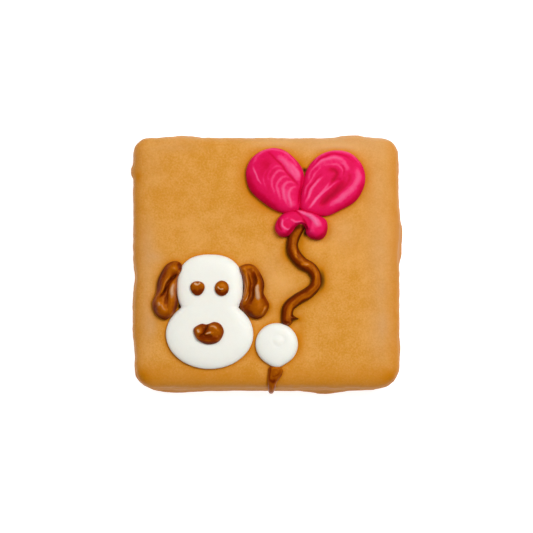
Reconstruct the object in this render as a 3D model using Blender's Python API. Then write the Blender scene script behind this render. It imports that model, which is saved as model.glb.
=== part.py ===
"""A square iced cookie: a flat biscuit dipped in caramel-coloured coating, piped with a puppy and a balloon.

Units are metres and +Z is up. The origin is the centre of the flat underside. +X is the right of the
decoration and +Y is towards its top edge. Every drop and line of icing is a solid of its own, laid on
the coating, or on the puppy's head, with a small gap between them.
"""

import math

import bmesh
import bpy
import numpy as np
from mathutils import Vector

MM = 0.001
GAP = 0.3 * MM

# The coated biscuit.
COOKIE_WIDTH = 65.2 * MM
COOKIE_DEPTH = 61.7 * MM
COOKIE_THICKNESS = 12.5 * MM
CORNER_RADII = (4.3 * MM, 3.2 * MM, 5.7 * MM, 5.7 * MM)  # back right, back left, front left, front right
LEAST_CORNER_RADIUS = 0.8 * MM
SHOULDER_REACH = 5.0 * MM  # from the wall in to where the top is flat
SHOULDER_DROP = 2.5 * MM
SHOULDER_SQUARENESS = 3.2
FOOT_HEIGHT = 4.0 * MM
FOOT_FLARE = 0.55 * MM
FOOT_LIP = 0.6 * MM
# Runs of coating that bulge the wall: x, y, reach along the wall, bulge, height and reach up and down.
COATING_RUNS = (
    (32.5, 8.2, 3.0, 1.0, 2.5, 3.0),
    (32.5, 3.2, 3.2, 0.8, 2.0, 2.5),
    (32.5, -20.9, 3.4, 0.7, 3.0, 3.0),
    (14.7, -30.7, 3.6, 1.0, 1.5, 2.5),
    (-22.5, -30.7, 5.0, 0.5, 1.5, 2.5),
    (21.3, 30.7, 3.4, 1.1, 7.5, 3.0),
    (-20.0, 30.7, 4.0, 0.9, 7.5, 3.0),
    (-32.5, 22.4, 1.6, 0.9, 8.0, 2.5),
    (-32.5, -8.0, 9.0, 0.4, 2.0, 2.5),
    (29.5, -28.0, 5.0, -0.6, 1.5, 3.0),
    (-30.0, -28.5, 4.0, -0.7, 1.5, 3.0),
)
CORNER_STEPS = 6
SIDE_STEPS = 20
SHOULDER_STEPS = 6
LIP_STEPS = 2
FOOT_STEPS = 3

# The puppy's head: two soft ovals that run into each other, each by centre, half size and squareness.
HEAD_CENTRE = (-13.75, -11.5)
HEAD_OVALS = (
    (-13.75, -6.2, 8.2, 8.0, 2.45),
    (-13.8, -17.7, 10.7, 8.5, 2.0),
)
HEAD_SPINE = ((-13.75, -6.0), (-13.8, -17.5))
HEAD_HEIGHT = 1.9 * MM
HEAD_POINTS = 60
RAYS_PER_POINT = 4  # rays from the centre that find the ovals' outline
RAY_REACH = 30.0
RAY_HALVINGS = 40

# The ears, which lie against the head.
EAR_HEIGHT = 2.7 * MM
EAR_POINTS = 44
EAR_LEFT_OUTLINE = (
    (-22.6, 0.2), (-20.9, -0.3), (-20.5, -1.9), (-21.6, -4.2), (-21.8, -8.6), (-21.3, -10.8), (-23.7, -13.6),
    (-25.0, -14.2), (-27.2, -12.3), (-27.9, -10.2), (-26.3, -6.6), (-26.1, -4.2), (-24.3, -0.7),
)
EAR_LEFT_SPINE = ((-23.2, -2.4), (-24.7, -11.2))
EAR_RIGHT_OUTLINE = (
    (-4.5, -0.4), (-6.5, -1.3), (-6.0, -3.4), (-5.5, -5.9), (-5.7, -8.6), (-6.5, -10.8), (-4.0, -13.5),
    (-1.8, -13.9), (-0.2, -12.9), (0.6, -10.6), (0.2, -9.1), (-0.8, -8.0), (-0.5, -5.7), (-1.2, -3.3),
    (-2.6, -1.1),
)
EAR_RIGHT_SPINE = ((-4.2, -2.8), (-2.7, -10.8))
# Ridges and creases that the piping left: route, half width and height.
EAR_LEFT_MARKS = (
    (((-21.4, -1.8), (-24.0, -5.0), (-26.0, -7.9)), 0.8, 0.35),
    (((-21.8, -3.2), (-23.6, -4.9), (-25.0, -7.4)), 0.6, -0.6),
    (((-22.8, -5.6), (-23.2, -10.6)), 0.9, 0.35),
)
EAR_RIGHT_MARKS = (
    (((-4.9, -2.7), (-4.5, -6.4), (-5.4, -9.8)), 0.5, -0.4),
    (((-3.4, -2.7), (-3.5, -5.3), (-4.2, -8.4)), 0.6, -0.5),
    (((-2.4, -4.4), (-2.3, -8.2)), 0.9, 0.35),
)

# The eyes and the nose, on the head.
EYE_HEIGHT = 1.2 * MM
EYE_POINTS = 24
EYE_LEFT = {"centre": (-16.7, -6.4), "radius": 1.74, "waves": ((3, 0.05, -90.0),)}
EYE_RIGHT = {"centre": (-10.8, -6.5), "radius": 1.78, "waves": ((2, 0.06, 90.0),)}
NOSE_HEIGHT = 1.6 * MM
NOSE_POINTS = 32
NOSE_OUTLINE = (
    (-17.7, -16.6), (-15.9, -15.3), (-14.4, -15.4), (-12.5, -14.8), (-10.9, -15.6),
    (-10.3, -17.5), (-11.6, -19.7), (-14.3, -20.3), (-16.8, -19.1),
)
NOSE_SPINE = ((-16.1, -17.1), (-12.7, -17.6))
NOSE_MARKS = ((((-14.3, -15.2), (-15.0, -17.2), (-16.4, -18.4)), 0.5, -0.45),)

# The paw: a round drop with a short spout at the bottom, and a low peak where the nozzle let go.
PAW = {"centre": (2.7, -20.2), "radius": 5.2}
PAW_SPOUT = (-90.0, 22.0, 0.1)  # direction and half width in degrees, and length as a share of the radius
PAW_HEIGHT = 1.9 * MM
PAW_POINTS = 36
PAW_SPINE = ((3.1, -19.4), (3.2, -19.4))
PAW_MARKS = ((PAW_SPINE, 0.8, 0.35),)

# The balloon's two lobes, its knot and its string.
LOBE_HEIGHT = 3.0 * MM
LOBE_GAP = 0.45 * MM
LOBE_POINTS = 52
LOBE_LEFT_OUTLINE = (
    (-5.0, 21.2), (-3.4, 25.6), (2.2, 28.3), (6.8, 26.7), (9.3, 22.7), (9.4, 17.5),
    (7.8, 12.7), (4.6, 12.0), (1.3, 12.9), (-2.0, 14.8), (-4.2, 17.7),
)
LOBE_LEFT_SPINE = ((1.2, 22.2), (5.6, 14.6))
LOBE_LEFT_MARKS = (
    (((2.9, 25.5), (6.4, 20.3), (8.6, 17.6)), 0.7, -0.4),
    (((4.9, 25.0), (8.3, 20.0)), 0.9, 0.25),
)
LOBE_RIGHT_OUTLINE = (
    (9.9, 22.3), (13.8, 26.7), (17.6, 27.8), (21.3, 26.8), (24.4, 21.2),
    (23.1, 15.9), (19.6, 13.1), (15.0, 11.0), (11.6, 11.6), (8.6, 12.6), (8.9, 17.3),
)
LOBE_RIGHT_SPINE = ((18.3, 21.9), (15.9, 19.6), (10.5, 14.2))
LOBE_RIGHT_MARKS = (
    (LOBE_RIGHT_SPINE, 0.8, 0.3),
    (((18.4, 19.9), (14.8, 16.3), (12.8, 14.1)), 0.8, -0.45),
)
# Stations along a piped line: x, y and half width.
KNOT_STATIONS = (
    (4.0, 6.5, 0.5), (4.1, 7.0, 1.5), (4.1, 8.3, 2.0), (4.8, 10.1, 1.9), (6.2, 11.0, 1.9), (8.0, 11.1, 1.9),
    (9.8, 10.8, 1.9), (11.5, 9.8, 2.1), (12.5, 8.1, 2.6), (12.6, 6.3, 1.9), (12.6, 5.6, 0.6),
)
KNOT_HEIGHT = 2.8 * MM
STRING_WIDTH = 2.9 * MM
STRING_HEIGHT = 2.1 * MM
STRING_ROUTE = (
    (8.2, 8.8), (7.0, 7.0), (6.4, 5.1), (6.4, 3.7), (7.3, 1.6), (9.3, -0.4), (11.3, -1.6), (12.3, -3.4),
    (12.1, -5.0), (10.7, -7.1), (7.8, -8.9), (5.9, -10.1), (5.2, -11.3), (5.2, -13.2), (5.4, -14.5),
    (5.1, -15.2),
)
STRING_SPUR = (-13.7, 0.6, 1.5)  # y of its tip, half width along the string and length
STRING_ROUND_END = 1.4 * MM
STRING_LEAST_WIDTH = 0.35
# The tail runs over the front edge, so its stations are x, the way down from the flat top, and half width.
TAIL_STATIONS = (
    (2.8, -0.2, 0.9), (2.7, 0.2, 1.5), (2.4, 1.2, 1.75), (1.7, 3.0, 1.35),
    (1.4, 4.6, 1.1), (1.2, 6.4, 1.05), (1.0, 7.6, 0.9), (1.0, 8.2, 0.35),
)
TAIL_HEIGHT = 1.4 * MM
LINE_STEPS = 3  # between the stations of a piped line
TAIL_STEPS = 2

# How icing sits: the widest line of a drop is this share of its height up, and its underside is narrower.
BEAD_LINE = 0.28
BEAD_FOOT = 0.93
BEAD_TURN = 30  # degrees between the points of a piped line's section
END_FULLNESS = 0.25
# Each kind of drop: how square its section is, and where its rings lie, as shares of the way to its outline.
FLOODED = (5.5, (0.99, 0.95, 0.87, 0.72, 0.45))
SWIRLED = (5.5, (0.99, 0.95, 0.87, 0.72, 0.5, 0.35, 0.2, 0.08))
PIPED = (3.0, (0.98, 0.92, 0.82, 0.69, 0.55, 0.41, 0.27, 0.13))
DOTTED = (3.0, (0.96, 0.85, 0.62, 0.3))
UNDERSIDE_SHARE = 0.45

CURVE_STEPS = 12  # between the given points of an outline
PROFILE_STEPS = 24
TINY = 1e-12
SHARP_ANGLE = math.radians(50.0)

# Colour, roughness and metallic value.
FINISHES = {
    "caramel_coating": ((0.70, 0.31, 0.055), 0.55, 0.0),
    "white_icing": ((0.90, 0.89, 0.81), 0.35, 0.0),
    "brown_icing": ((0.20, 0.045, 0.004), 0.35, 0.0),
    "pink_icing": ((0.78, 0.018, 0.11), 0.40, 0.0),
}


def clear_scene():
    for obj in list(bpy.data.objects):
        bpy.data.objects.remove(obj)


def make_finish(name):
    colour, roughness, metallic = FINISHES[name]
    material = bpy.data.materials.new(name)
    material.use_nodes = True
    shader = material.node_tree.nodes["Principled BSDF"]
    shader.inputs["Base Color"].default_value = (*colour, 1.0)
    shader.inputs["Roughness"].default_value = roughness
    shader.inputs["Metallic"].default_value = metallic
    return material


def smooth_line(points, steps, closed=False):
    """Points along a curve that passes through the given ones, with any further columns eased alike."""
    points = np.asarray(points, dtype=float)
    count = len(points)
    last = count if closed else count - 1
    found = []
    for i in range(last):
        ends = [i - 1, i, i + 1, i + 2]
        p0, p1, p2, p3 = (points[k % count] if closed else points[min(max(k, 0), count - 1)] for k in ends)
        for step in range(steps):
            t = step / steps
            found.append(
                0.5 * (2 * p1 + (p2 - p0) * t + (2 * p0 - 5 * p1 + 4 * p2 - p3) * t**2
                       + (3 * p1 - p0 - 3 * p2 + p3) * t**3)
            )
    if not closed:
        found.append(points[-1])
    return np.array(found)


def evenly(points, count):
    """A closed outline read again at this many even distances."""
    closed = np.vstack([points, points[:1]])
    steps = np.hypot(*np.diff(closed, axis=0).T)
    travelled = np.concatenate([[0.0], np.cumsum(steps)])
    wanted = np.linspace(0.0, travelled[-1], count, endpoint=False)
    return np.column_stack([np.interp(wanted, travelled, closed[:, k]) for k in (0, 1)])


def counter_clockwise(outline):
    x, y = outline.T
    area = np.sum(x * np.roll(y, -1) - np.roll(x, -1) * y)
    return outline if area > 0 else outline[::-1]


def nearest_on_line(point, line, closed=False):
    """The point of a line that is nearest to this one, and the distance to it."""
    line = np.asarray(line, dtype=float)
    starts = line if closed else line[:-1]
    runs = (np.roll(line, -1, axis=0) if closed else line[1:]) - starts
    share = np.sum((point - starts) * runs, axis=1) / np.maximum(np.sum(runs**2, axis=1), TINY)
    found = starts + np.clip(share, 0.0, 1.0)[:, None] * runs
    away = np.hypot(*(found - point).T)
    return found[away.argmin()], away.min()


def inside(point, outline):
    x, y = point
    ax, ay = outline.T
    bx, by = np.roll(outline, -1, axis=0).T
    crosses = (ay > y) != (by > y)
    at = ax + (y - ay) * (bx - ax) / np.where(by == ay, TINY, by - ay)
    return bool(np.count_nonzero(crosses & (x < at)) % 2)


def press_against(outline, neighbour, gap):
    """The outline with every point that would touch the neighbour moved out to this gap from it."""
    pressed = outline.copy()
    for i, point in enumerate(outline):
        nearest, away = nearest_on_line(point, neighbour, closed=True)
        within = inside(point, neighbour)
        if away < gap or within:
            out = (nearest - point) if within else (point - nearest)
            pressed[i] = nearest + out / max(away, TINY) * gap
    return pressed


def icing_outline(points, count):
    """The smooth outline, in metres, of a drop whose shape is given by a few points in millimetres."""
    return counter_clockwise(evenly(smooth_line(points, CURVE_STEPS, closed=True), count)) * MM


def head_outline():
    """The outline of the two ovals, found along rays from a point that lies in both."""
    centre = np.array(HEAD_CENTRE)
    points = []
    for turn in np.linspace(0.0, 2 * math.pi, RAYS_PER_POINT * HEAD_POINTS, endpoint=False):
        ray = np.array([math.cos(turn), math.sin(turn)])
        near, far = 0.0, RAY_REACH
        for _ in range(RAY_HALVINGS):
            reach = (near + far) / 2
            x, y = centre + ray * reach
            field = min(
                abs((x - cx) / half_x) ** power + abs((y - cy) / half_y) ** power
                for cx, cy, half_x, half_y, power in HEAD_OVALS
            )
            near, far = (reach, far) if field < 1.0 else (near, reach)
        points.append(centre + ray * near)
    return evenly(np.array(points), HEAD_POINTS) * MM


def round_outline(count, centre, radius, waves=()):
    """A circle whose radius rises and falls: each wave is its number of lobes, share and direction."""
    turns = np.linspace(0.0, 2 * math.pi, count, endpoint=False)
    reach = np.full(count, float(radius))
    for lobes, share, direction in waves:
        reach += radius * share * np.cos(lobes * (turns - math.radians(direction)))
    return (np.array(centre) + np.column_stack([np.cos(turns), np.sin(turns)]) * reach[:, None]) * MM


def paw_outline():
    direction, spread, share = PAW_SPOUT
    points = round_outline(PAW_POINTS, **PAW) / MM
    centre = np.array(PAW["centre"])
    for i, point in enumerate(points):
        x, y = point - centre
        off = (math.degrees(math.atan2(y, x)) - direction + 180.0) % 360.0 - 180.0
        points[i] = centre + (point - centre) * (1.0 + share * math.exp(-((off / spread) ** 2)))
    return evenly(points, PAW_POINTS) * MM


def coating_height(x, y):
    """Height of the coating's top at a point: flat in the middle, rolling off towards the wall."""
    corner = (0 if x > 0 else 1) if y > 0 else (2 if x < 0 else 3)
    radius = CORNER_RADII[corner]
    from_side = COOKIE_WIDTH / 2 - abs(x)
    from_end = COOKIE_DEPTH / 2 - abs(y)
    inset = min(from_side, from_end)
    if from_side < radius and from_end < radius:
        inset = radius - math.hypot(radius - from_side, radius - from_end)
    outer = min(max(1.0 - inset / SHOULDER_REACH, 0.0), 1.0)
    return COOKIE_THICKNESS - SHOULDER_DROP * (1.0 - math.sqrt(1.0 - outer**SHOULDER_SQUARENESS))


def coating_floor(x, y):
    return coating_height(x, y) + GAP


def head_floor(x, y):
    return COOKIE_THICKNESS + GAP + HEAD_HEIGHT + GAP


def relief(x, y, marks):
    """What ridges and creases add to the height at a point."""
    rise = 0.0
    for route, half_width, height in marks:
        _, away = nearest_on_line(np.array([x, y]) / MM, route)
        rise += height * MM * math.exp(-((away / half_width) ** 2))
    return rise


def loft(name, rings, finish, origin=(0.0, 0.0, 0.0)):
    """A closed solid through rings of equally many points, the first and the last closed by a face."""
    mesh = bpy.data.meshes.new(name)
    body = bmesh.new()
    made = [[body.verts.new(Vector(point) - Vector(origin)) for point in ring] for ring in rings]
    for lower, upper in zip(made, made[1:]):
        for i in range(len(lower)):
            k = (i + 1) % len(lower)
            body.faces.new((lower[i], lower[k], upper[k], upper[i]))
    ends = [body.faces.new(made[0][::-1]), body.faces.new(made[-1])]
    bmesh.ops.triangulate(body, faces=ends, ngon_method="BEAUTY")
    bmesh.ops.recalc_face_normals(body, faces=body.faces)
    body.to_mesh(mesh)
    body.free()
    mesh.materials.append(finish)
    mesh.shade_smooth()
    mesh.set_sharp_from_angle(angle=SHARP_ANGLE)
    obj = bpy.data.objects.new(name, mesh)
    obj.location = origin
    return obj


def wall_ring(outward):
    """Points round the biscuit, this far out from its wall, each with its outward direction."""
    signs = ((1, 1), (-1, 1), (-1, -1), (1, -1))
    corners = []
    for quarter, ((sign_x, sign_y), radius) in enumerate(zip(signs, CORNER_RADII)):
        reach = max(radius + outward, LEAST_CORNER_RADIUS)
        centre_x = sign_x * (COOKIE_WIDTH / 2 + outward - reach)
        centre_y = sign_y * (COOKIE_DEPTH / 2 + outward - reach)
        corner = []
        for step in range(CORNER_STEPS + 1):
            turn = math.pi / 2 * (quarter + step / CORNER_STEPS)
            out = np.array([math.cos(turn), math.sin(turn)])
            corner.append((np.array([centre_x, centre_y]) + reach * out, out))
        corners.append(corner)
    ring = []
    for corner, following in zip(corners, corners[1:] + corners[:1]):
        ring += corner
        (start, out), (end, _) = corner[-1], following[0]
        ring += [(start + (end - start) * step / SIDE_STEPS, out) for step in range(1, SIDE_STEPS)]
    return ring


def coating_run(x, y, z):
    """How far the runs of coating push the wall out at a point."""
    push = 0.0
    for run_x, run_y, along, bulge, height, upright in COATING_RUNS:
        away = math.hypot(x / MM - run_x, y / MM - run_y) / along
        level = (z / MM - height) / upright
        push += bulge * MM * math.exp(-(away**2) - level**2)
    return push


def shoulder_profile(steps):
    """The rolled-off edge as pairs of outward reach and height, from the wall up to the flat top."""
    profile = []
    for step in range(steps + 1):
        turn = math.pi / 2 * step / steps
        inset = SHOULDER_REACH * (1 - math.cos(turn) ** (2 / SHOULDER_SQUARENESS))
        profile.append((-inset, COOKIE_THICKNESS - SHOULDER_DROP * (1 - math.sin(turn))))
    return profile


def foot_profile():
    """The foot as pairs of outward reach and height: a rounded lip that eases into the wall."""
    profile = []
    for step in range(LIP_STEPS + 1):
        turn = math.pi / 2 * step / LIP_STEPS
        profile.append((FOOT_FLARE - FOOT_LIP * (1 - math.sin(turn)), FOOT_LIP * (1 - math.cos(turn))))
    for step in range(1, FOOT_STEPS + 1):
        rise = step / FOOT_STEPS
        flare = FOOT_FLARE * (1 - rise**2 * (3 - 2 * rise))
        profile.append((flare, FOOT_LIP + (FOOT_HEIGHT - FOOT_LIP) * rise))
    return profile


def make_cookie(finish):
    middle_of_wall = (0.0, (FOOT_HEIGHT + COOKIE_THICKNESS - SHOULDER_DROP) / 2)
    rings = []
    for outward, height in foot_profile() + [middle_of_wall] + shoulder_profile(SHOULDER_STEPS):
        ring = []
        for (x, y), out in wall_ring(outward):
            push = coating_run(x, y, height) if outward > -FOOT_LIP else 0.0
            ring.append((x + out[0] * push, y + out[1] * push, height))
        rings.append(ring)
    return loft("cookie", rings, finish)


def make_drop(name, outline, spine, height, finish, kind=PIPED, floor=coating_floor, marks=()):
    """A drop of icing: rings that draw in from its outline to its spine as they rise to a low dome."""
    squareness, shares = kind
    spine = np.array(spine) * MM
    roots = np.array([nearest_on_line(point, spine)[0] for point in outline])
    widest = BEAD_LINE * height
    sections = [(UNDERSIDE_SHARE, 0.0, 0.0), (BEAD_FOOT, 0.0, 0.0), (1.0, widest, 0.0)]
    for share in shares:
        risen = math.sqrt(1.0 - share**squareness)
        sections.append((share, widest + (height - widest) * risen, risen))
    made = []
    for share, rise, shown in sections:
        ring = []
        for x, y in roots + (outline - roots) * share:
            ring.append((x, y, floor(x, y) + rise + shown * relief(x, y, marks)))
        made.append(ring)
    return loft(name, made, finish, origin=(*spine[0], floor(*spine[0])))


def make_eye(name, eye, finish):
    spine = (eye["centre"], eye["centre"])
    return make_drop(name, round_outline(EYE_POINTS, **eye), spine, EYE_HEIGHT, finish, DOTTED, head_floor)


def line_stations(rows, steps):
    """Stations of a piped line, in metres, smoothed between the given rows."""
    return smooth_line(rows, steps) * MM


def directions(route):
    """The way that a route runs at each of its points, as unit vectors."""
    along = np.gradient(route, axis=0)
    return along / np.linalg.norm(along, axis=1)[:, None]


def line_outline(stations):
    """The outline of a piped line, from its stations."""
    way_x, way_y = directions(stations[:, :2]).T
    across = np.column_stack([way_y, -way_x]) * stations[:, 2:3]
    return counter_clockwise(np.vstack([stations[:, :2] + across, (stations[:, :2] - across)[::-1]]))


def bead_section(left, right, height):
    """The section of a piped line, as pairs of distance to its right and height: flat below, arched above."""
    section = [(-BEAD_FOOT * left, 0.0)]
    for turn in range(180, -1, -BEAD_TURN):
        across = math.cos(math.radians(turn))
        rise = BEAD_LINE + (1 - BEAD_LINE) * math.sin(math.radians(turn))
        section.append((across * (left if across < 0 else right), rise * height))
    section.append((BEAD_FOOT * right, 0.0))
    return section


def make_line(name, stations, height, finish, left_bulge=None):
    """A line of icing on the flat of the coating, lower where it narrows at its ends."""
    fullest = stations[:, 2].max()
    rings = []
    for i, ((x, y, half), (way_x, way_y)) in enumerate(zip(stations, directions(stations[:, :2]))):
        left = half + (left_bulge[i] if left_bulge is not None else 0.0)
        rise = height * min(1.0, half / fullest + END_FULLNESS)
        rings.append([
            (x + across * way_y, y - across * way_x, coating_floor(x, y) + up)
            for across, up in bead_section(left, half, rise)
        ])
    return loft(name, rings, finish, origin=rings[0][0])


def make_string(knot, finish):
    """The balloon's string, from under the knot to the paw, with the spur where the nozzle let go."""
    route = line_stations(STRING_ROUTE, LINE_STEPS)
    from_start = np.hypot(*(route - route[0]).T)
    ease = np.clip(from_start / STRING_ROUND_END, 0.0, 1.0)
    half = STRING_WIDTH / 2 * (STRING_LEAST_WIDTH + (1 - STRING_LEAST_WIDTH) * np.sqrt(ease * (2 - ease)))
    room = [nearest_on_line(point, knot, closed=True)[1] - GAP for point in route]
    half = np.minimum(half, room)
    tip_y, spread, length = STRING_SPUR
    spur = length * MM * np.exp(-(((route[:, 1] / MM - tip_y) / spread) ** 2))
    stations = np.column_stack([route, half])
    return make_line("string", stations, STRING_HEIGHT, finish, left_bulge=spur)


def down_the_front(way_down):
    """The point, and the direction there, at this distance along the coating from the flat top: y and z."""
    front = -COOKIE_DEPTH / 2
    section = [(front - outward, height) for outward, height in shoulder_profile(PROFILE_STEPS)[::-1]]
    section = np.array([(section[0][0] + SHOULDER_REACH, COOKIE_THICKNESS), *section, (front, FOOT_HEIGHT)])
    travelled = np.concatenate([[0.0], np.cumsum(np.hypot(*np.diff(section, axis=0).T))]) - SHOULDER_REACH
    found = [np.interp(way_down, travelled, column) for column in (*section.T, *directions(section).T)]
    return found[:2], found[2:]


def tail_outline():
    """The outline, from above, of the part of the tail that lies on the shoulder."""
    stations = line_stations(TAIL_STATIONS, TAIL_STEPS)
    stations = stations[stations[:, 1] < SHOULDER_REACH]
    stations[:, 1] = [down_the_front(way_down)[0][0] for way_down in stations[:, 1]]
    return line_outline(stations)


def make_tail(finish):
    """The tail of icing, which follows the coating over its front shoulder and down the wall."""
    stations = line_stations(TAIL_STATIONS, TAIL_STEPS)
    fullest = stations[:, 2].max()
    rings = []
    for x, way_down, half in stations:
        (y, z), (way_y, way_z) = down_the_front(way_down)
        rise = TAIL_HEIGHT * min(1.0, half / fullest + END_FULLNESS)
        rings.append([
            (x + across, y + way_z * (GAP + up), z - way_y * (GAP + up))
            for across, up in bead_section(half, half, rise)
        ])
    return loft("tail", rings, finish, origin=rings[0][0])


def main():
    clear_scene()
    collection = bpy.data.collections.new("decorated_cookie")
    bpy.context.scene.collection.children.link(collection)
    finish = {name: make_finish(name) for name in FINISHES}
    brown, white, pink = finish["brown_icing"], finish["white_icing"], finish["pink_icing"]

    knot_stations = line_stations(KNOT_STATIONS, LINE_STEPS)
    knot = line_outline(knot_stations)
    ear_left = icing_outline(EAR_LEFT_OUTLINE, EAR_POINTS)
    ear_right = icing_outline(EAR_RIGHT_OUTLINE, EAR_POINTS)
    head = press_against(press_against(head_outline(), ear_left, GAP), ear_right, GAP)
    paw = press_against(paw_outline(), tail_outline(), GAP)
    lobe_right = press_against(icing_outline(LOBE_RIGHT_OUTLINE, LOBE_POINTS), knot, GAP)
    lobe_left = press_against(icing_outline(LOBE_LEFT_OUTLINE, LOBE_POINTS), knot, GAP)
    lobe_left = press_against(lobe_left, lobe_right, LOBE_GAP)
    nose = icing_outline(NOSE_OUTLINE, NOSE_POINTS)

    made = [
        make_cookie(finish["caramel_coating"]),
        make_drop("puppy_head", head, HEAD_SPINE, HEAD_HEIGHT, white, FLOODED),
        make_drop("ear_left", ear_left, EAR_LEFT_SPINE, EAR_HEIGHT, brown, marks=EAR_LEFT_MARKS),
        make_drop("ear_right", ear_right, EAR_RIGHT_SPINE, EAR_HEIGHT, brown, marks=EAR_RIGHT_MARKS),
        make_eye("eye_left", EYE_LEFT, brown),
        make_eye("eye_right", EYE_RIGHT, brown),
        make_drop("nose", nose, NOSE_SPINE, NOSE_HEIGHT, brown, floor=head_floor, marks=NOSE_MARKS),
        make_drop("paw", paw, PAW_SPINE, PAW_HEIGHT, white, SWIRLED, marks=PAW_MARKS),
        make_drop("balloon_left", lobe_left, LOBE_LEFT_SPINE, LOBE_HEIGHT, pink, marks=LOBE_LEFT_MARKS),
        make_drop("balloon_right", lobe_right, LOBE_RIGHT_SPINE, LOBE_HEIGHT, pink, marks=LOBE_RIGHT_MARKS),
        make_line("balloon_knot", knot_stations, KNOT_HEIGHT, pink),
        make_string(knot, brown),
        make_tail(brown),
    ]
    base = bpy.data.objects.new("decorated_cookie_base", None)
    collection.objects.link(base)
    for obj in made:
        collection.objects.link(obj)
        obj.parent = base


main()
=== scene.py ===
# %% [markdown]
# # A coated cookie with a piped puppy
#
# The real object is a square biscuit that was dipped in warm caramel-coloured coating and set on a
# tray, where the coating ran down to a soft foot. A baker then flooded the puppy's face and paw with
# thin white icing, piped the ears, eyes, nose, string and tail in stiff brown icing, and piped the
# balloon in stiff pink icing. This lesson makes the finishes first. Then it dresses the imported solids
# from below upwards, as the baker did: the coating, and each drop and line of icing laid on it.

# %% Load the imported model
import math

import bmesh
import bpy
import numpy as np
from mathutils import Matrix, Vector
from mathutils.bvhtree import BVHTree


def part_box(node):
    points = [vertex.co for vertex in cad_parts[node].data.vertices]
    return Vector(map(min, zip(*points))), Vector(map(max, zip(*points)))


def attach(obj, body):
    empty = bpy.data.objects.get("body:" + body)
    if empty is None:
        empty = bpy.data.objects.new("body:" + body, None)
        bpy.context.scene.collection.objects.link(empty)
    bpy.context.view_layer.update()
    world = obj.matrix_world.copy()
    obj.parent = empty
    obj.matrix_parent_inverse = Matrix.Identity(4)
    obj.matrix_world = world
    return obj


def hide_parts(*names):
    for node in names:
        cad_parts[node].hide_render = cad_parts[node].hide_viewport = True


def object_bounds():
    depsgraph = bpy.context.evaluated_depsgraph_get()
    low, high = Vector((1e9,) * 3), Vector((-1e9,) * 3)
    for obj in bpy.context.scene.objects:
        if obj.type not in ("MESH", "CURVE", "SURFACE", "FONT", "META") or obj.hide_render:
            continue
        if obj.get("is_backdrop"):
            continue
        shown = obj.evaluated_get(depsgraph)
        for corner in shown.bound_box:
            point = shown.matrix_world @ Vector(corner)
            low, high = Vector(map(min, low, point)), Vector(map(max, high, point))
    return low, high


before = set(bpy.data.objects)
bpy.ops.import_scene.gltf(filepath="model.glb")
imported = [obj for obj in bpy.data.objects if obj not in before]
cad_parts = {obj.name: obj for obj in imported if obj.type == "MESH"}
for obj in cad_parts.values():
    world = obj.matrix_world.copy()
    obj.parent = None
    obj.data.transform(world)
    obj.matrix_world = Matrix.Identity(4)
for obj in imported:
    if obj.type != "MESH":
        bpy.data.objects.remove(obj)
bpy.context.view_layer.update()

print("packed nodes:", ", ".join(sorted(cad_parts)))

# %% [markdown]
# ## Units
#
# The frame is in metres, but a baker thinks in millimetres. Every size and place below is written in
# millimetres and turned to metres once, by multiplying by MM. Places are measured from the centre of
# the biscuit, with +X to the right of the picture and +Y towards its top edge.

# %% Units and where the top of the coating lies
MM = 0.001
biscuit_low, biscuit_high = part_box("cookie")
TOP = biscuit_high.z
print("the flat top of the coating is", round(TOP / MM, 2), "mm above the table")

# %% [markdown]
# ## The camera
#
# The photo looks almost straight down: the front side shows only as a strip four pixels high. That
# height, against the thickness of the biscuit, gives a tilt of 4.5 degrees. A long lens far away keeps
# the sides of the square parallel, as they are in the photo. It could also be an orthographic camera,
# but then the strip would be the same at every distance, which no real lens does.

# %% Camera
CAMERA_TILT = math.radians(4.5)
CAMERA_DISTANCE = 600 * MM
AIM = Vector((0.1 * MM, -1.1 * MM, TOP))
VIEW_WIDTH = 130.7 * MM  # what the 533 pixels span at the top of the coating

camera_data = bpy.data.cameras.new("camera")
camera_data.lens = camera_data.sensor_width * CAMERA_DISTANCE / VIEW_WIDTH
camera_data.clip_start = 10 * MM
camera = bpy.data.objects.new("camera", camera_data)
camera.location = AIM + CAMERA_DISTANCE * Vector((0, -math.sin(CAMERA_TILT), math.cos(CAMERA_TILT)))
camera.rotation_euler = (CAMERA_TILT, 0, 0)
bpy.context.scene.collection.objects.link(camera)
bpy.context.scene.camera = camera
print("lens:", round(camera_data.lens, 1), "mm")

# %% [markdown]
# ## Colours
#
# Icing colours are given in sRGB, as hex values, while the renderer works with linear light.
# One function turns the first into the second. The view transform is set to Standard, because a
# product photo on white shows colours as they are, with no film curve.

# %% From hex to linear light
SRGB_KNEE = 0.04045


def linear(hex_colour):
    """An sRGB hex colour as linear red, green, blue and alpha."""
    shares = [int(hex_colour[i:i + 2], 16) / 255 for i in (1, 3, 5)]
    return (*(c / 12.92 if c <= SRGB_KNEE else ((c + 0.055) / 1.055) ** 2.4 for c in shares), 1.0)


bpy.context.scene.view_settings.view_transform = "Standard"
bpy.context.scene.view_settings.look = "None"
print("a caramel in linear light:", [round(c, 3) for c in linear("#D18D2E")[:3]])

# %% [markdown]
# ## Node trees
#
# Both the finishes and the geometry rules are node trees built here. One small function adds any node,
# sets its options and fills its sockets: a socket that is given another node's output is linked to it,
# and any other value is set on the socket itself. Both kinds of finish lay colours over each other,
# each coming in over its own range of some value, so a second function does that for any number of them.

# %% One function adds a node
MATHS, VECTORS, CHOICE = "ShaderNodeMath", "ShaderNodeVectorMath", "GeometryNodeSwitch"


def add_node(tree, kind, sockets=None, **options):
    node = tree.nodes.new(kind)
    for name, value in options.items():
        setattr(node, name, value)
    for key, value in (sockets or {}).items():
        if isinstance(value, bpy.types.NodeSocket):
            tree.links.new(value, node.inputs[key])
        else:
            node.inputs[key].default_value = value
    return node


print("node kinds are added by name, such as", MATHS)

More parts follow.
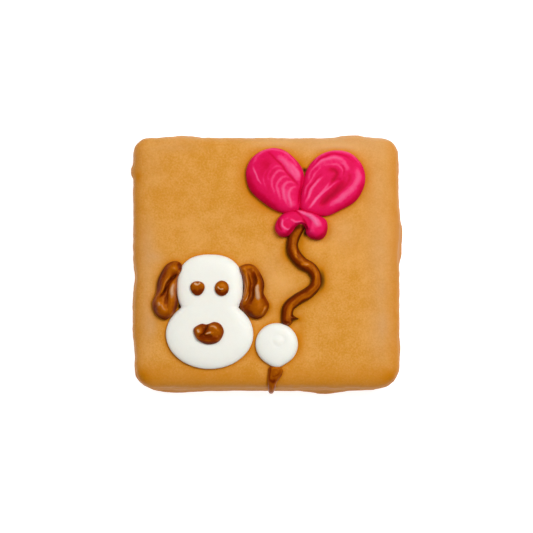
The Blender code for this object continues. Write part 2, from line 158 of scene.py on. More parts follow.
# %% What the finishes share
def new_finish(name):
    """An empty finish: its tree, its shader and the coordinates that patterns are read at."""
    material = bpy.data.materials.new(name)
    material.use_nodes = True
    tree = material.node_tree
    place = add_node(tree, "ShaderNodeTexCoord").outputs["Object"]
    return material, tree, tree.nodes["Principled BSDF"], place


def layered(tree, colour, layers):
    """Colours laid over each other: each layer has the value that steers it, the two values between which
    it comes in, its greatest share and its colour."""
    for value, start, full, most, layer in layers:
        share = add_node(tree, "ShaderNodeMapRange", {
            "Value": value, "From Min": start, "From Max": full, "To Max": most,
        }).outputs[0]
        colour = add_node(
            tree, "ShaderNodeMix", {0: share, 6: colour, 7: linear(layer)}, data_type="RGBA"
        ).outputs[2]
    return colour


def set_sockets(shader, values):
    for name, value in values.items():
        shader.inputs[name].default_value = value


print("every finish has its tree, its shader and Object coordinates")

# %% [markdown]
# ## Finish: caramel confectionery coating
#
# This is a compound coating: fat, sugar and milk powder. It sets satin-matte, a little uneven in tone,
# with a few pale specks of milk powder finer than half a millimetre. The tone comes from three noises,
# 9 mm, 3.5 mm and 0.45 mm, the specks from a fast one that is cut off so that only its peaks show,
# and a fine bump breaks the sheen. Two attributes that are painted further down steer it. The first
# makes it darker and richer: in part the real rim where fat from the icing bled in, in part painted
# shade beside the icing and on the shoulders, walls and side edges. Above 1 it is a painted shadow,
# almost black, and below 0 it makes the coating lighter. The second makes it paler and duller: in soft
# spots here and there, and as a painted sheen along the left, right and back edges and a painted
# highlight on the front wall. A little light goes into the fat and comes out again, which softens the
# shoulders. A painted picture could give the same tones, but noises with real sizes stay sharp from
# close by.

# %% Caramel coating
CARAMEL_NOISES = {  # how long its waves are, and its detail
    "broad": (9 * MM, 3.0), "cloud": (3.5 * MM, 4.0), "grain": (0.45 * MM, 3.0), "speck": (0.35 * MM, 3.0),
    "peel": (0.6 * MM, 3.0),
}


def caramel_coating():
    material, tree, shader, place = new_finish("caramel_compound_coating")
    noise = {}
    for name, (length, detail) in CARAMEL_NOISES.items():
        noise[name] = add_node(
            tree, "ShaderNodeTexNoise", {"Vector": place, "Scale": 1 / length, "Detail": detail}
        ).outputs["Fac"]
    tone = noise["cloud"]
    for name, share in (("broad", 0.4), ("grain", 1.1)):
        tone = add_node(
            tree, "ShaderNodeMath", {0: noise[name], 1: share, 2: tone}, operation="MULTIPLY_ADD"
        ).outputs[0]
    milk = add_node(tree, "ShaderNodeAttribute", attribute_name="milk").outputs["Fac"]
    halo = add_node(tree, "ShaderNodeAttribute", attribute_name="halo").outputs["Fac"]
    # the first attribute: darker partly from fat bled in and partly as painted shade, lighter below 0, near
    # black painted shadow above 1; the second: paler soft spots and a painted sheen and highlight
    colour = layered(tree, linear("#D18D2E"), (
        (tone, 0.99, 1.51, 1.0, "#DF9F4F"), (milk, 0.0, 1.0, 1.0, "#D2A272"),
        (halo, 0.0, 1.0, 1.0, "#CA7B08"), (halo, 0.0, -1.0, 1.0, "#F6B662"),
        (halo, 1.0, 2.0, 1.0, "#200C00"), (noise["speck"], 0.62, 0.82, 0.25, "#F0C088"),
    ))
    dull = add_node(tree, "ShaderNodeMapRange", {"Value": noise["cloud"], "To Min": 0.45, "To Max": 0.65})
    rough = add_node(
        tree, "ShaderNodeMath", {0: noise["speck"], 1: 0.25, 2: noise["peel"]}, operation="MULTIPLY_ADD"
    )
    bump = add_node(
        tree, "ShaderNodeBump", {"Strength": 0.7, "Distance": 0.08 * MM, "Height": rough.outputs[0]}
    )
    tree.links.new(colour, shader.inputs["Base Color"])
    tree.links.new(dull.outputs[0], shader.inputs["Roughness"])
    tree.links.new(bump.outputs[0], shader.inputs["Normal"])
    set_sockets(shader, {
        "IOR": 1.46, "Specular IOR Level": 0.25, "Specular Tint": linear("#FFC068"),
        "Subsurface Weight": 0.12, "Subsurface Radius": (1.0, 0.45, 0.15), "Subsurface Scale": 0.8 * MM,
    })
    return material


caramel = caramel_coating()
print("made the finish", caramel.name)

# %% [markdown]
# ## Finish: icing
#
# All three icings are sugar, fat and colour, and they set with a soft sheen. White icing lets light
# through, so its edges glow. Brown and pink icing are dense with cocoa and dye. Each piece carries the
# relief of its strokes, with listed tones on top, as an attribute that steers its colour: in part
# streaks of colour in the icing, in part painted light and shade. Crests and painted highlights and
# glints go paler, and creases, the sides away from the lamps and the rims at the foot go darker, which
# is painted shade. Where the value is highest the colour goes to a paler painted highlight, soonest on
# the pink, which is also more matte than the brown. The tinted sheen keeps the colours as rich as in
# the photo. The bump is the fine skin of dried icing, about a third of a millimetre. Three finishes
# could be built one by one, but they differ only in colours, sheen and glow, so one function makes
# them all.

# %% Icing
STREAK, MOTTLE, SKIN = 1.6 * MM, 0.55 * MM, 0.3 * MM
COMES_IN = 0.7  # how much stroke relief takes the colour from one tone to the next
# how much more stroke value brings in the painted highlight colour, and its greatest share
HIGHLIGHT_OVER, HIGHLIGHT_MOST = 0.8, 0.85


def icing(name, sunk, deep, pale, painted_highlight, sheen, roughness, specular, glow, glow_reach, highlight_from=0.8):
    """An icing finish whose colour runs from sunk and deep, in creases and painted shade, to pale on the
    strokes and then to a paler painted highlight.
    """
    material, tree, shader, place = new_finish(name)
    streak, mottle, skin = (
        add_node(
            tree, "ShaderNodeTexNoise", {"Vector": place, "Scale": 1 / length, "Detail": detail}
        ).outputs["Fac"]
        for length, detail in ((STREAK, 3.0), (MOTTLE, 2.0), (SKIN, 2.0))
    )
    tone = add_node(tree, "ShaderNodeAttribute", attribute_name="stroke").outputs["Fac"]
    for noise, share in ((streak, 0.4), (mottle, 0.3)):
        tone = add_node(
            tree, "ShaderNodeMath", {0: noise, 1: share, 2: tone}, operation="MULTIPLY_ADD"
        ).outputs[0]
    # sunk and deep: creases and painted shade; pale: crests and painted highlights; the last layer: a paler
    # painted highlight
    colour = layered(tree, linear(sunk), (
        (tone, -COMES_IN, 0.0, 1.0, deep), (tone, 0.0, COMES_IN, 1.0, pale),
        (tone, highlight_from, highlight_from + HIGHLIGHT_OVER, HIGHLIGHT_MOST, painted_highlight),
    ))
    bump = add_node(tree, "ShaderNodeBump", {"Strength": 0.35, "Distance": 0.03 * MM, "Height": skin})
    tree.links.new(colour, shader.inputs["Base Color"])
    tree.links.new(bump.outputs[0], shader.inputs["Normal"])
    set_sockets(shader, {
        "Roughness": roughness, "IOR": 1.48, "Specular IOR Level": specular, "Specular Tint": linear(sheen),
        "Subsurface Weight": glow, "Subsurface Radius": (1.0, 0.8, 0.6), "Subsurface Scale": glow_reach,
    })
    return material


# each icing's colours: sunk, deep, pale, its painted highlight, and the tint of its sheen
white = icing(
    "white_royal_icing", "#E6E5DA", "#EFEEE4", "#F5F5EC", "#F7F7F0", "#FFFFFF", 0.42, 0.35, 0.25, 0.8 * MM
)
brown = icing(
    "brown_chocolate_icing", "#501800", "#7A2900", "#B66202", "#D0A682", "#FFA448", 0.33, 0.3, 0.03, 0.4 * MM
)
pink = icing(
    "pink_raspberry_icing", "#AC0028", "#D0003C", "#EC1864", "#EE6C9A", "#FFC0D0", 0.58, 0.11, 0.06, 0.5 * MM,
    highlight_from=0.5,
)
print("made the finishes", white.name, brown.name, pink.name)

# %% [markdown]
# ## The coating
#
# The coated biscuit is one soft form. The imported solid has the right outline, shoulders, foot and runs,
# but in flat facets. It could be modelled again from its sizes; here a copy of the solid is welded and
# remeshed into an even skin of small quads instead, and relaxed until the facets melt, so that the
# dressed biscuit can't drift away from the solid.

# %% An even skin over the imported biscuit
COATING_QUAD = 0.42 * MM
COATING_PASSES = 14
WELD = 0.005 * MM


def link(name, mesh):
    piece = bpy.data.objects.new(name, mesh)
    bpy.context.scene.collection.objects.link(piece)
    return piece


def settled_mesh(piece):
    """The piece as its modifiers leave it, as a plain mesh, with the piece itself removed."""
    graph = bpy.context.evaluated_depsgraph_get()
    name = piece.name
    mesh = bpy.data.meshes.new_from_object(piece.evaluated_get(graph))
    bpy.data.objects.remove(piece)
    mesh.name = name
    return mesh


def even_skin(mesh, quad, passes):
    """The same form in even quads of this size, relaxed this many times."""
    piece = link(mesh.name, mesh)
    remesh = piece.modifiers.new("even", "REMESH")
    remesh.mode = "VOXEL"
    remesh.voxel_size = quad
    relax = piece.modifiers.new("relax", "SMOOTH")
    relax.factor = 0.5
    relax.iterations = passes
    return settled_mesh(piece)


def welded_copy(node):
    """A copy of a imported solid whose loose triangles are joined."""
    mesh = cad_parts[node].data.copy()
    body = bmesh.new()
    body.from_mesh(mesh)
    bmesh.ops.remove_doubles(body, verts=body.verts, dist=WELD)
    body.to_mesh(mesh)
    body.free()
    return mesh


skin = even_skin(welded_copy("cookie"), COATING_QUAD, COATING_PASSES)
print("the skin has", len(skin.vertices), "vertices")

# %% [markdown]
# ## How the coating ran
#
# Warm coating leaves three marks. The top has a slow swell of about a tenth of a millimetre. Down the
# sides it ran in soft columns a few millimetres apart, and it stopped in a wavering ledge where the
# first flow met the next. All three follow a rule, so they are a Geometry Nodes tree with its sizes as
# named inputs: noise pushes each vertex along its normal, and how upright the surface is decides which
# mark it gets. The relief fades out near the table, so that the underside stays flat.

# %% How every tree starts and ends
def new_tree(name, inputs):
    """An empty geometry tree with these named inputs, each with its kind."""
    tree = bpy.data.node_groups.new(name, "GeometryNodeTree")
    tree.interface.new_socket("Geometry", in_out="INPUT", socket_type="NodeSocketGeometry")
    for label, kind in inputs.items():
        tree.interface.new_socket(label, in_out="INPUT", socket_type="NodeSocket" + kind)
    tree.interface.new_socket("Geometry", in_out="OUTPUT", socket_type="NodeSocketGeometry")
    return tree, add_node(tree, "NodeGroupInput").outputs


def finish_tree(tree, geometry, finish):
    """Every tree ends alike: smooth shading, real geometry and the finish."""
    smooth = add_node(tree, "GeometryNodeSetShadeSmooth", {"Geometry": geometry})
    real = add_node(tree, "GeometryNodeRealizeInstances", {"Geometry": smooth.outputs[0]})
    finished = add_node(tree, "GeometryNodeSetMaterial", {"Geometry": real.outputs[0], "Material": finish})
    add_node(tree, "NodeGroupOutput", {"Geometry": finished.outputs[0]})
    return tree


print("every tree ends in smooth shading, real geometry and a finish")

# %% A tree for the relief of the coating
RELIEF_FROM, RELIEF_FULL = 0.2 * MM, 1.6 * MM  # above the table


def coating_relief_tree():
    tree, given = new_tree("coating_relief", {
        "Swell length": "Float", "Swell depth": "Float", "Run spacing": "Float", "Run depth": "Float",
        "Ledge height": "Float", "Ledge depth": "Float", "Ledge width": "Float", "Seed": "Float",
        "Coating": "Material",
    })
    place = add_node(tree, "GeometryNodeInputPosition").outputs[0]
    normal = add_node(tree, "GeometryNodeInputNormal").outputs[0]
    height = add_node(tree, "ShaderNodeSeparateXYZ", {0: place}).outputs["Z"]
    facing = add_node(tree, "ShaderNodeSeparateXYZ", {0: normal}).outputs["Z"]
    upright = add_node(tree, "ShaderNodeMath", {0: facing}, operation="ABSOLUTE")
    wall = add_node(tree, "ShaderNodeMapRange", {
        "Value": upright.outputs[0], "From Min": 0.25, "From Max": 0.95, "To Min": 1.0, "To Max": 0.0,
    }, interpolation_type="SMOOTHSTEP").outputs[0]
    above = add_node(tree, "ShaderNodeMapRange", {
        "Value": height, "From Min": RELIEF_FROM, "From Max": RELIEF_FULL,
    }, interpolation_type="SMOOTHSTEP").outputs[0]

    def waves(stretch, length):
        """Noise from -1 to 1 whose waves have this length, in a space stretched by this much."""
        spaced = add_node(
            tree, "ShaderNodeVectorMath", {0: place, 1: stretch}, operation="MULTIPLY"
        ).outputs[0]
        pace = add_node(tree, "ShaderNodeMath", {0: 1.0, 1: length}, operation="DIVIDE").outputs[0]
        noise = add_node(tree, "ShaderNodeTexNoise", {
            "Vector": spaced, "W": given["Seed"], "Scale": pace, "Detail": 2.0,
        }, noise_dimensions="4D").outputs["Fac"]
        return add_node(tree, "ShaderNodeMapRange", {
            "Value": noise, "From Min": 0.2, "From Max": 0.8, "To Min": -1.0, "To Max": 1.0,
        }, clamp=False).outputs[0]

    swell = add_node(tree, "ShaderNodeMath", {
        0: waves((1, 1, 1), given["Swell length"]), 1: given["Swell depth"],
    }, operation="MULTIPLY").outputs[0]
    run = add_node(tree, "ShaderNodeMath", {
        0: waves((1, 1, 0.22), given["Run spacing"]), 1: given["Run depth"],
    }, operation="MULTIPLY").outputs[0]
    waver = add_node(tree, "ShaderNodeMath", {
        0: waves((1, 1, 0), given["Swell length"]), 1: given["Ledge width"], 2: given["Ledge height"],
    }, operation="MULTIPLY_ADD").outputs[0]
    off = add_node(tree, "ShaderNodeMath", {0: height, 1: waver}, operation="SUBTRACT").outputs[0]
    ratio = add_node(tree, "ShaderNodeMath", {0: off, 1: given["Ledge width"]}, operation="DIVIDE").outputs[0]
    square = add_node(tree, "ShaderNodeMath", {0: ratio, 1: ratio}, operation="MULTIPLY").outputs[0]
    bell = add_node(tree, "ShaderNodeMath", {0: math.exp(-1), 1: square}, operation="POWER").outputs[0]
    on_wall = add_node(
        tree, "ShaderNodeMath", {0: bell, 1: given["Ledge depth"], 2: run}, operation="MULTIPLY_ADD"
    ).outputs[0]
    pushed = add_node(
        tree, "ShaderNodeMath", {0: on_wall, 1: wall, 2: swell}, operation="MULTIPLY_ADD"
    ).outputs[0]
    depth = add_node(tree, "ShaderNodeMath", {0: pushed, 1: above}, operation="MULTIPLY").outputs[0]
    offset = add_node(tree, "ShaderNodeVectorMath", {0: normal, "Scale": depth}, operation="SCALE").outputs[0]
    moved = add_node(tree, "GeometryNodeSetPosition", {"Geometry": given["Geometry"], "Offset": offset})
    return finish_tree(tree, moved.outputs[0], given["Coating"])


def grown(piece, tree, values):
    """The plain mesh that the tree makes of a piece, with its named inputs set by their identifiers."""
    modifier = piece.modifiers.new(tree.name, "NODES")
    modifier.node_group = tree
    for socket in tree.interface.items_tree:
        if socket.in_out == "INPUT" and socket.name in values:
            modifier[socket.identifier] = values[socket.name]
    return settled_mesh(piece)


coating_relief = coating_relief_tree()
print("the relief tree has", len(coating_relief.nodes), "nodes")

# %% Pour the coating
cookie = link("coated_biscuit", grown(link("coated_biscuit_form", skin), coating_relief, {
    "Swell length": 11 * MM, "Swell depth": 0.07 * MM, "Run spacing": 3.4 * MM, "Run depth": 0.22 * MM,
    "Ledge height": 8.6 * MM, "Ledge depth": 0.3 * MM, "Ledge width": 0.5 * MM, "Seed": 4.0,
    "Coating": caramel,
}))
print("the coating has", len(cookie.data.polygons), "faces")

# %% [markdown]
# ## The real outline
#
# A dipped biscuit is never quite straight: here and there the coating ran out a little further or held
# back. Each such swell is a place along one side, half its length, and how far the edge lies out there,
# all in millimetres and read off the photo. All that is within five millimetres of the side
# moves with it, so nothing creases. A nub is the same with a short reach. They could be pulled out by
# hand with proportional editing, but a list keeps each one's real size.

# %% Ease the sides
SIDE_X, SIDE_REACH = 32.6, 5.0
TOP_SPARED = 2.0  # how far below the top the wall moves in full
LEFT, RIGHT = -1, 1
SWELLS = (  # side, place along it, half length and how far out, where less than nothing is a hollow
    (RIGHT, 9.0, 4.0, 0.4), (LEFT, -3.6, 3.0, -0.6), (LEFT, -23.3, 4.5, -0.6),
)
NUBS = ((-32.6, 23.0, 8.2, 0.9, 0.6), (-32.6, 21.3, 8.0, 0.9, -0.35))  # x, y, z, reach and how far out


def smooth_share(values):
    values = np.clip(values, 0.0, 1.0)
    return values * values * (3 - 2 * values)


def eased(places):
    """Places in millimetres, moved outward near the sides."""
    moved = places.copy()
    x, y, z = places.T
    below = smooth_share((TOP / MM - z) / TOP_SPARED)
    for side, place, half, push in SWELLS:
        near = smooth_share(1 - (SIDE_X - side * x) / SIDE_REACH)
        moved[:, 0] += side * near * below * push * np.exp(-(((y - place) / half) ** 2))
    for nub_x, nub_y, nub_z, reach, push in NUBS:
        away = np.linalg.norm(places - (nub_x, nub_y, nub_z), axis=1)
        moved[:, 0] += math.copysign(1.0, nub_x) * push * np.exp(-((away / reach) ** 2))
    return moved


places = np.empty(3 * len(cookie.data.vertices))
cookie.data.vertices.foreach_get("co", places)
moved = eased(places.reshape(-1, 3) / MM) * MM
inside = np.clip(moved, np.array(biscuit_low), np.array(biscuit_high) + (0, 0, 1))
cookie.data.vertices.foreach_set("co", inside.ravel())
cookie.data.update()
print("the sides moved by at most", round(float(np.abs(moved - places.reshape(-1, 3)).max()) / MM, 2), "mm")

# %% [markdown]
# ## What the icing lies on
#
# Icing is laid on the finished coating, swell and all, so each drop needs the height of the surface
# under it. One height for all would do on a flat plate, but here a drop would float over a hollow, so a
# ray sent straight down at the coating gives the height. Icing sinks in a tenth of a millimetre, which
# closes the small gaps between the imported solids.

# %% The height under a drop
SINK = 0.12 * MM
RAY_START = 40 * MM
DOWN = Vector((0, 0, -1))


def tree_of(piece):
    """A piece's surface, ready for rays and for the nearest place on it."""
    return BVHTree.FromObject(piece, bpy.context.evaluated_depsgraph_get())


def surface_under(piece):
    """A function that gives the height of this piece's top at a place."""
    tree = tree_of(piece)

    def height(x, y):
        hit = tree.ray_cast(Vector((x, y, RAY_START)), DOWN)[0]
        return hit.z if hit else TOP

    return height


coating_height = surface_under(cookie)
print("the coating's middle lies at", round(coating_height(0, 0) / MM, 3), "mm")

# %% [markdown]
# ## Routes and outlines
#
# A baker's hand moves in smooth curves, so outlines and routes are given by a few points in
# millimetres and eased between them with a Catmull-Rom spline, which passes through every point. The
# alternative, a Bezier curve, needs two handles for each point.

# %% Smooth curves through a few points
def smooth_curve(points, steps, closed=False):
    points = np.asarray(points, dtype=float)
    count = len(points)
    found = []
    for i in range(count if closed else count - 1):
        near = [i - 1, i, i + 1, i + 2]
        p0, p1, p2, p3 = (points[k % count] if closed else points[min(max(k, 0), count - 1)] for k in near)
        for t in np.linspace(0.0, 1.0, steps, endpoint=False):
            found.append(
                0.5 * (2 * p1 + (p2 - p0) * t + (2 * p0 - 5 * p1 + 4 * p2 - p3) * t**2
                       + (3 * p1 - p0 - 3 * p2 + p3) * t**3)
            )
    if not closed:
        found.append(points[-1])
    return np.array(found)


def travelled_along(line):
    """How far from a line's start each of its points lies, measured along the line."""
    return np.concatenate([[0.0], np.cumsum(np.linalg.norm(np.diff(line, axis=0), axis=1))])


def evenly(line, count, closed=False):
    """A line read again at this many even distances."""
    line = np.vstack([line, line[:1]]) if closed else line
    travelled = travelled_along(line[:, :2])
    wanted = np.linspace(0.0, travelled[-1], count, endpoint=not closed)
    return np.column_stack([np.interp(wanted, travelled, column) for column in line.T])


def beside(points, route):
    """For each point: its distance from a route, positive on the route's left, how far along it is, the
    route's length, and the half width there where the route gives one."""
    best = np.full(len(points), np.inf)
    side, along, half = np.zeros(len(points)), np.zeros(len(points)), np.zeros(len(points))
    travelled = 0.0
    for start, end in zip(route, route[1:]):
        run = (end - start)[:2]
        length = max(np.hypot(*run), 1e-9)
        share = np.clip((points - start[:2]) @ run / length**2, 0.0, 1.0)
        off = points - (start[:2] + share[:, None] * run)
        away = np.hypot(*off.T)
        closer = away < best
        left = np.where(run[0] * off[:, 1] - run[1] * off[:, 0] < 0, -1.0, 1.0)
        best = np.where(closer, away, best)
        side = np.where(closer, left, side)
        along = np.where(closer, travelled + share * length, along)
        if len(start) > 2:
            half = np.where(closer, start[2] + share * (end[2] - start[2]), half)
        travelled += length
    return best * side, along, travelled, half


print("a circle through four points:", len(smooth_curve([(1, 0), (0, 1), (-1, 0), (0, -1)], 8, closed=True)))

# %% [markdown]
# ## Strokes
#
# The nozzle leaves marks: strokes side by side with a crease between them, the lip where one stroke
# lies over the last, ridges, grooves, and the fine streaks that it drags through the icing. Each
# mark is a small function of a place on the icing, in millimetres, that says how far it lifts the
# surface. A route's points are x, y and half width. They could be sculpted by hand, but written like
# this each one keeps its real width and height. Each piece has a list of its marks, where a row is the
# kind of mark, its route and its heights, and a list of tones, which colour the icing but don't lift it.
# The tones are in part streaks of colour and in part painted light and shade: painted highlights and
# glints on crests, and painted shade in creases and on the sides away from the lamps.

# %% Soft ends and soft steps
MARK_STEPS = 6  # steps between two points of a mark's route


def fade(along, length, reach):
    """1 along a line, and falling off in a round to 0 at both its ends, over this reach."""
    ease = np.clip(np.minimum(along, length - along) / reach, 0.0, 1.0)
    return ease * (2 - ease)


def soft_step(values):
    """0 well below zero, and 1 well above it."""
    return 1 / (1 + np.exp(-np.clip(values, -40, 40)))


print("half way into its soft end a line is", fade(0.5, 10.0, 1.0), "full")

# %% Marks along one route
CREASE_ENDS, LIP_ENDS = 0.25, 0.2  # the share of its length over which a mark fades at each end


def ridge(route, height):
    """A rounded ridge, or a groove where the height is negative."""
    route = smooth_curve(route, MARK_STEPS)

    def lift(points):
        side, _, _, half = beside(points, route)
        return height * np.exp(-((side / half) ** 2))

    return lift


def crease(route, depth):
    """A sharp-bottomed fold that fades out at its ends."""
    route = smooth_curve(route, MARK_STEPS)

    def lift(points):
        side, along, length, half = beside(points, route)
        return -depth * np.exp(-np.abs(side) / half) * fade(along, length, CREASE_ENDS * length)

    return lift


def lip(route, height, edge):
    """The edge of a stroke that lies over the last one, on the left of the route."""
    route = smooth_curve(route, MARK_STEPS)

    def lift(points):
        side, along, length, reach = beside(points, route)
        over = np.exp(-((np.maximum(side, 0) / reach) ** 2))
        return height * soft_step(side / edge) * over * fade(along, length, LIP_ENDS * length)

    return lift


print("a ridge lifts", ridge([(0, 0, 1), (2, 0, 1)], 0.2)(np.array([(1.0, 0.0)])), "mm on its route")

# %% Marks of many strokes
LEVEL = 0.75  # how high on its arch a stroke neither lifts nor sinks the icing
COMBED_ENDS, COMBED_LEAST = 0.3, 0.25  # the share that fades at each end, and how strong it is there


def strokes(routes, relief, blend=0.12):
    """Strokes side by side: each is an arch across its route, and where two meet they leave a crease."""
    routes = [smooth_curve(route, MARK_STEPS) for route in routes]

    def lift(points):
        total = 0.0
        for route in routes:
            side, _, _, half = beside(points, route)
            arch = np.cos(0.5 * math.pi * np.clip(np.abs(side) / half, 0.0, 1.0))
            total = total + np.exp(arch / blend)
        return relief * (blend * np.log(total) - LEVEL)

    return lift


def combed(rows, share):
    """Many soft strokes at once, each given as its strength, half width and points, times this share."""
    marks = [(amount, half, smooth_curve(points, MARK_STEPS)) for amount, half, points in rows]

    def lift(points):
        total = np.zeros(len(points))
        for amount, half, route in marks:
            side, along, length, _ = beside(points, route)
            full = COMBED_LEAST + (1 - COMBED_LEAST) * fade(along, length, COMBED_ENDS * length)
            total += amount * np.exp(-((side / half) ** 2)) * full
        return share * total

    return lift


pair = strokes([[(-1, 0, 1.2), (-1, 9, 1.2)], [(1, 0, 1.2), (1, 9, 1.2)]], 0.4)(np.array([(1, 5), (0, 5)]))
print("between two strokes the icing lies", round(float(pair[0] - pair[1]), 2), "mm lower")

# %% The flank of a line
FLANK_END, FLANK_SOFT = -0.33, 0.13  # where the low flank ends, in half widths, and how softly
BAND_END, BAND_SOFT = 0.72, 0.06
STREAK_PACE = 11  # how closely the streaks lie side by side


def flank(route, depth, edge=0.0, streaks=0.0):
    """The right side of a line, lower than a flat band on its left, with the band's far edge and streaks."""
    def lift(points):
        side, along, _, half = beside(points, route)
        over = side / half
        slope = -depth * soft_step((FLANK_END - over) / FLANK_SOFT)
        far = -edge * soft_step((over - BAND_END) / BAND_SOFT)
        drift = np.sin(0.9 * along) + np.sin(0.37 * along)
        return slope + far + streaks * np.cos(STREAK_PACE * over + drift)

    return lift


low_side = flank(np.array([(0, 0, 1.0), (0, 9, 1.0)]), 0.5)(np.array([(0.8, 5.0)]))
print("the low side of a flank lies at", low_side.round(2), "mm")

# %% Lay the marks on a piece
SHAKE = 0.06


def wavered(points):
    """The same places with the slight shake of a hand."""
    x, y = points.T
    shake_x = np.sin(0.9 * x + 1.3 * y) + np.sin(1.9 * y - 0.7 * x)
    shake_y = np.sin(1.2 * x - 0.8 * y) + np.sin(1.6 * x + 1.1 * y)
    return points + SHAKE * np.column_stack([shake_x, shake_y])


FACES_UP = 0.6  # how upward a normal points where a mark is lifted in full


def emboss(mesh, marks, tones=()):
    """Lifts what faces up by the sum of the marks, and keeps marks and tones, with their painted light and
    shade, as the attribute stroke.
    """
    count = len(mesh.vertices)
    places, facing = np.empty(count * 3), np.empty(count * 3)
    mesh.vertices.foreach_get("co", places)
    mesh.vertices.foreach_get("normal", facing)
    places = places.reshape(-1, 3)
    facing = smooth_share(facing.reshape(-1, 3)[:, 2] / FACES_UP)
    flat = wavered(places[:, :2] / MM)

    def summed(rows):
        return sum((mark(route, *values)(flat) for mark, route, *values in rows), np.zeros(count))

    lifted = summed(marks) * facing
    places[:, 2] += lifted * MM
    mesh.vertices.foreach_set("co", places.ravel())
    stroke = mesh.attributes.new("stroke", "FLOAT", "POINT")
    stroke.data.foreach_set("value", (lifted + summed(tones)).astype(np.float32))
    mesh.update()


print("marks: ridge, crease, lip, strokes, combed, flank")

# %% [markdown]
# ## A drop of icing
#
# A drop is a pool with steep round sides and a low dome. It is a loft of rings that draw in from its
# outline to a short line in its middle, its spine. Thin flooding icing stands squarer than stiff piped
# icing, so each drop has its own squareness. Where the rings close over the spine their faces are
# long and thin, so the drop then gets the same even skin as the coating, fine enough for its marks.

# %% The rings of a drop
WIDEST_AT = 0.28  # share of its height where a drop is widest
TUCK = 0.05  # how far its foot is drawn in
UNDERSIDE = 0.5  # where its flat underside ends, as a share of the way from spine to outline
FLOODED = 5.5
PIPED = 3.0
RINGS = 40
DROP_PASSES = 5
SECTION_SAMPLES = 400
EASED_OVER = 16  # a spine place is eased over this part of the outline to either side


def evenly_spread(squareness, slimness, count):
    """Shares of the way from spine to outline, from 1 down to almost 0, evenly spaced over the section."""
    shares = np.cos(np.linspace(0.0, math.pi / 2, SECTION_SAMPLES)) ** (2 / squareness)
    rises = np.sqrt(np.clip(1 - shares**squareness, 0, 1)) * slimness
    travelled = travelled_along(np.column_stack([shares, rises]))
    wanted = np.linspace(0.0, travelled[-1], count + 1)[1:-1]
    return np.interp(wanted, travelled, shares)


def rooted(outline, route):
    """For each outline point its place on the spine, eased so that neighbours stay close together."""
    along = beside(outline, route)[1]
    reach = len(outline) // EASED_OVER
    wrapped = np.concatenate([along[-reach:], along, along[:reach]])
    eased = np.convolve(wrapped, np.ones(2 * reach + 1) / (2 * reach + 1), mode="valid")
    travelled = travelled_along(route)
    return np.column_stack([np.interp(eased, travelled, column) for column in route.T])


print("rings of a piped drop:", evenly_spread(PIPED, 0.5, 6).round(2))

# %% A drop of icing
def loft(name, rings):
    """A closed mesh through rings of equally many points."""
    count = len(rings[0])
    body = bmesh.new()
    made = [[body.verts.new(point) for point in ring] for ring in rings]
    for lower, upper in zip(made, made[1:]):
        for i in range(count):
            body.faces.new((lower[i], lower[i - 1], upper[i - 1], upper[i]))
    ends = [body.faces.new(made[0]), body.faces.new(made[-1])]
    bmesh.ops.triangulate(body, faces=ends, ngon_method="BEAUTY")
    bmesh.ops.recalc_face_normals(body, faces=body.faces)
    mesh = bpy.data.meshes.new(name)
    body.to_mesh(mesh)
    body.free()
    return mesh


def drop(name, outline, spine, height, squareness, floor, finish, marks, tones=(), quad=0.15):
    """A drop of icing on a floor, sized in millimetres, with its marks and the tones that only colour it."""
    outline, route = np.asarray(outline) * MM, np.asarray(spine) * MM
    height *= MM
    roots = rooted(outline, route)
    half = np.hypot(*(outline - roots).T).max()
    widest = WIDEST_AT * height
    sections = [(UNDERSIDE, -SINK), (1 - TUCK, -SINK), (1 - TUCK / 3, 0.5 * widest), (1.0, widest)]
    for share in evenly_spread(squareness, (height - widest) / half, RINGS):
        sections.append((share, widest + (height - widest) * math.sqrt(1 - share**squareness)))
    made = []
    for share, rise in sections:
        ring = roots + (outline - roots) * share
        made.append([(x, y, floor(x, y) + rise) for x, y in ring])
    mesh = even_skin(loft(name, made), quad * MM, DROP_PASSES)
    mesh.materials.clear()
    mesh.materials.append(finish)
    mesh.shade_smooth()
    emboss(mesh, marks, tones)
    return link(name, mesh)


print("a drop sinks", round(SINK / MM, 2), "mm into what it lies on")

# %% [markdown]
# ## The puppy's face
#
# The face is flooded icing: two soft ovals that ran into each other. Its outline is where either of two
# superellipses ends. It could be drawn by hand, but two ovals with a centre, a size and a squareness
# say it better. Rays from a point inside both find the edge.

# %% The face
FACE_CENTRE = np.array((-13.75, -11.5))
FACE_OVALS = (  # centre x and y, half width, half height and squareness
    (-13.75, -6.15, 8.2, 8.0, 2.45), (-13.8, -17.75, 10.75, 8.55, 2.0),
)
FACE_SPINE = ((-13.75, -6.0), (-13.8, -17.5))
FACE_HEIGHT = 1.9
FACE_REACH = 30.0
FACE_MARKS = ((ridge, [(-5.9, -15.0, 0.35), (-5.2, -15.8, 0.3)], -0.05),)
HALVINGS = 40


def face_outline(count):
    turns = np.linspace(0.0, 2 * math.pi, 4 * count, endpoint=False)
    rays = np.column_stack([np.cos(turns), np.sin(turns)])
    near, far = np.zeros(len(rays)), np.full(len(rays), FACE_REACH)
    for _ in range(HALVINGS):
        reach = (near + far) / 2
        x, y = (FACE_CENTRE + rays * reach[:, None]).T
        fields = [
            abs((x - middle_x) / a) ** power + abs((y - middle_y) / b) ** power
            for middle_x, middle_y, a, b, power in FACE_OVALS
        ]
        within = np.min(fields, axis=0) < 1.0
        near, far = np.where(within, reach, near), np.where(within, far, reach)
    return evenly(FACE_CENTRE + rays * near[:, None], count, closed=True)


face = drop(
    "puppy_face", face_outline(count=300), FACE_SPINE, FACE_HEIGHT, FLOODED, coating_height, white,
    FACE_MARKS, quad=0.22,
)
face_height = surface_under(face)
print("the face stands", round(face_height(-13.75 * MM, -12 * MM) / MM - TOP / MM, 2), "mm high")

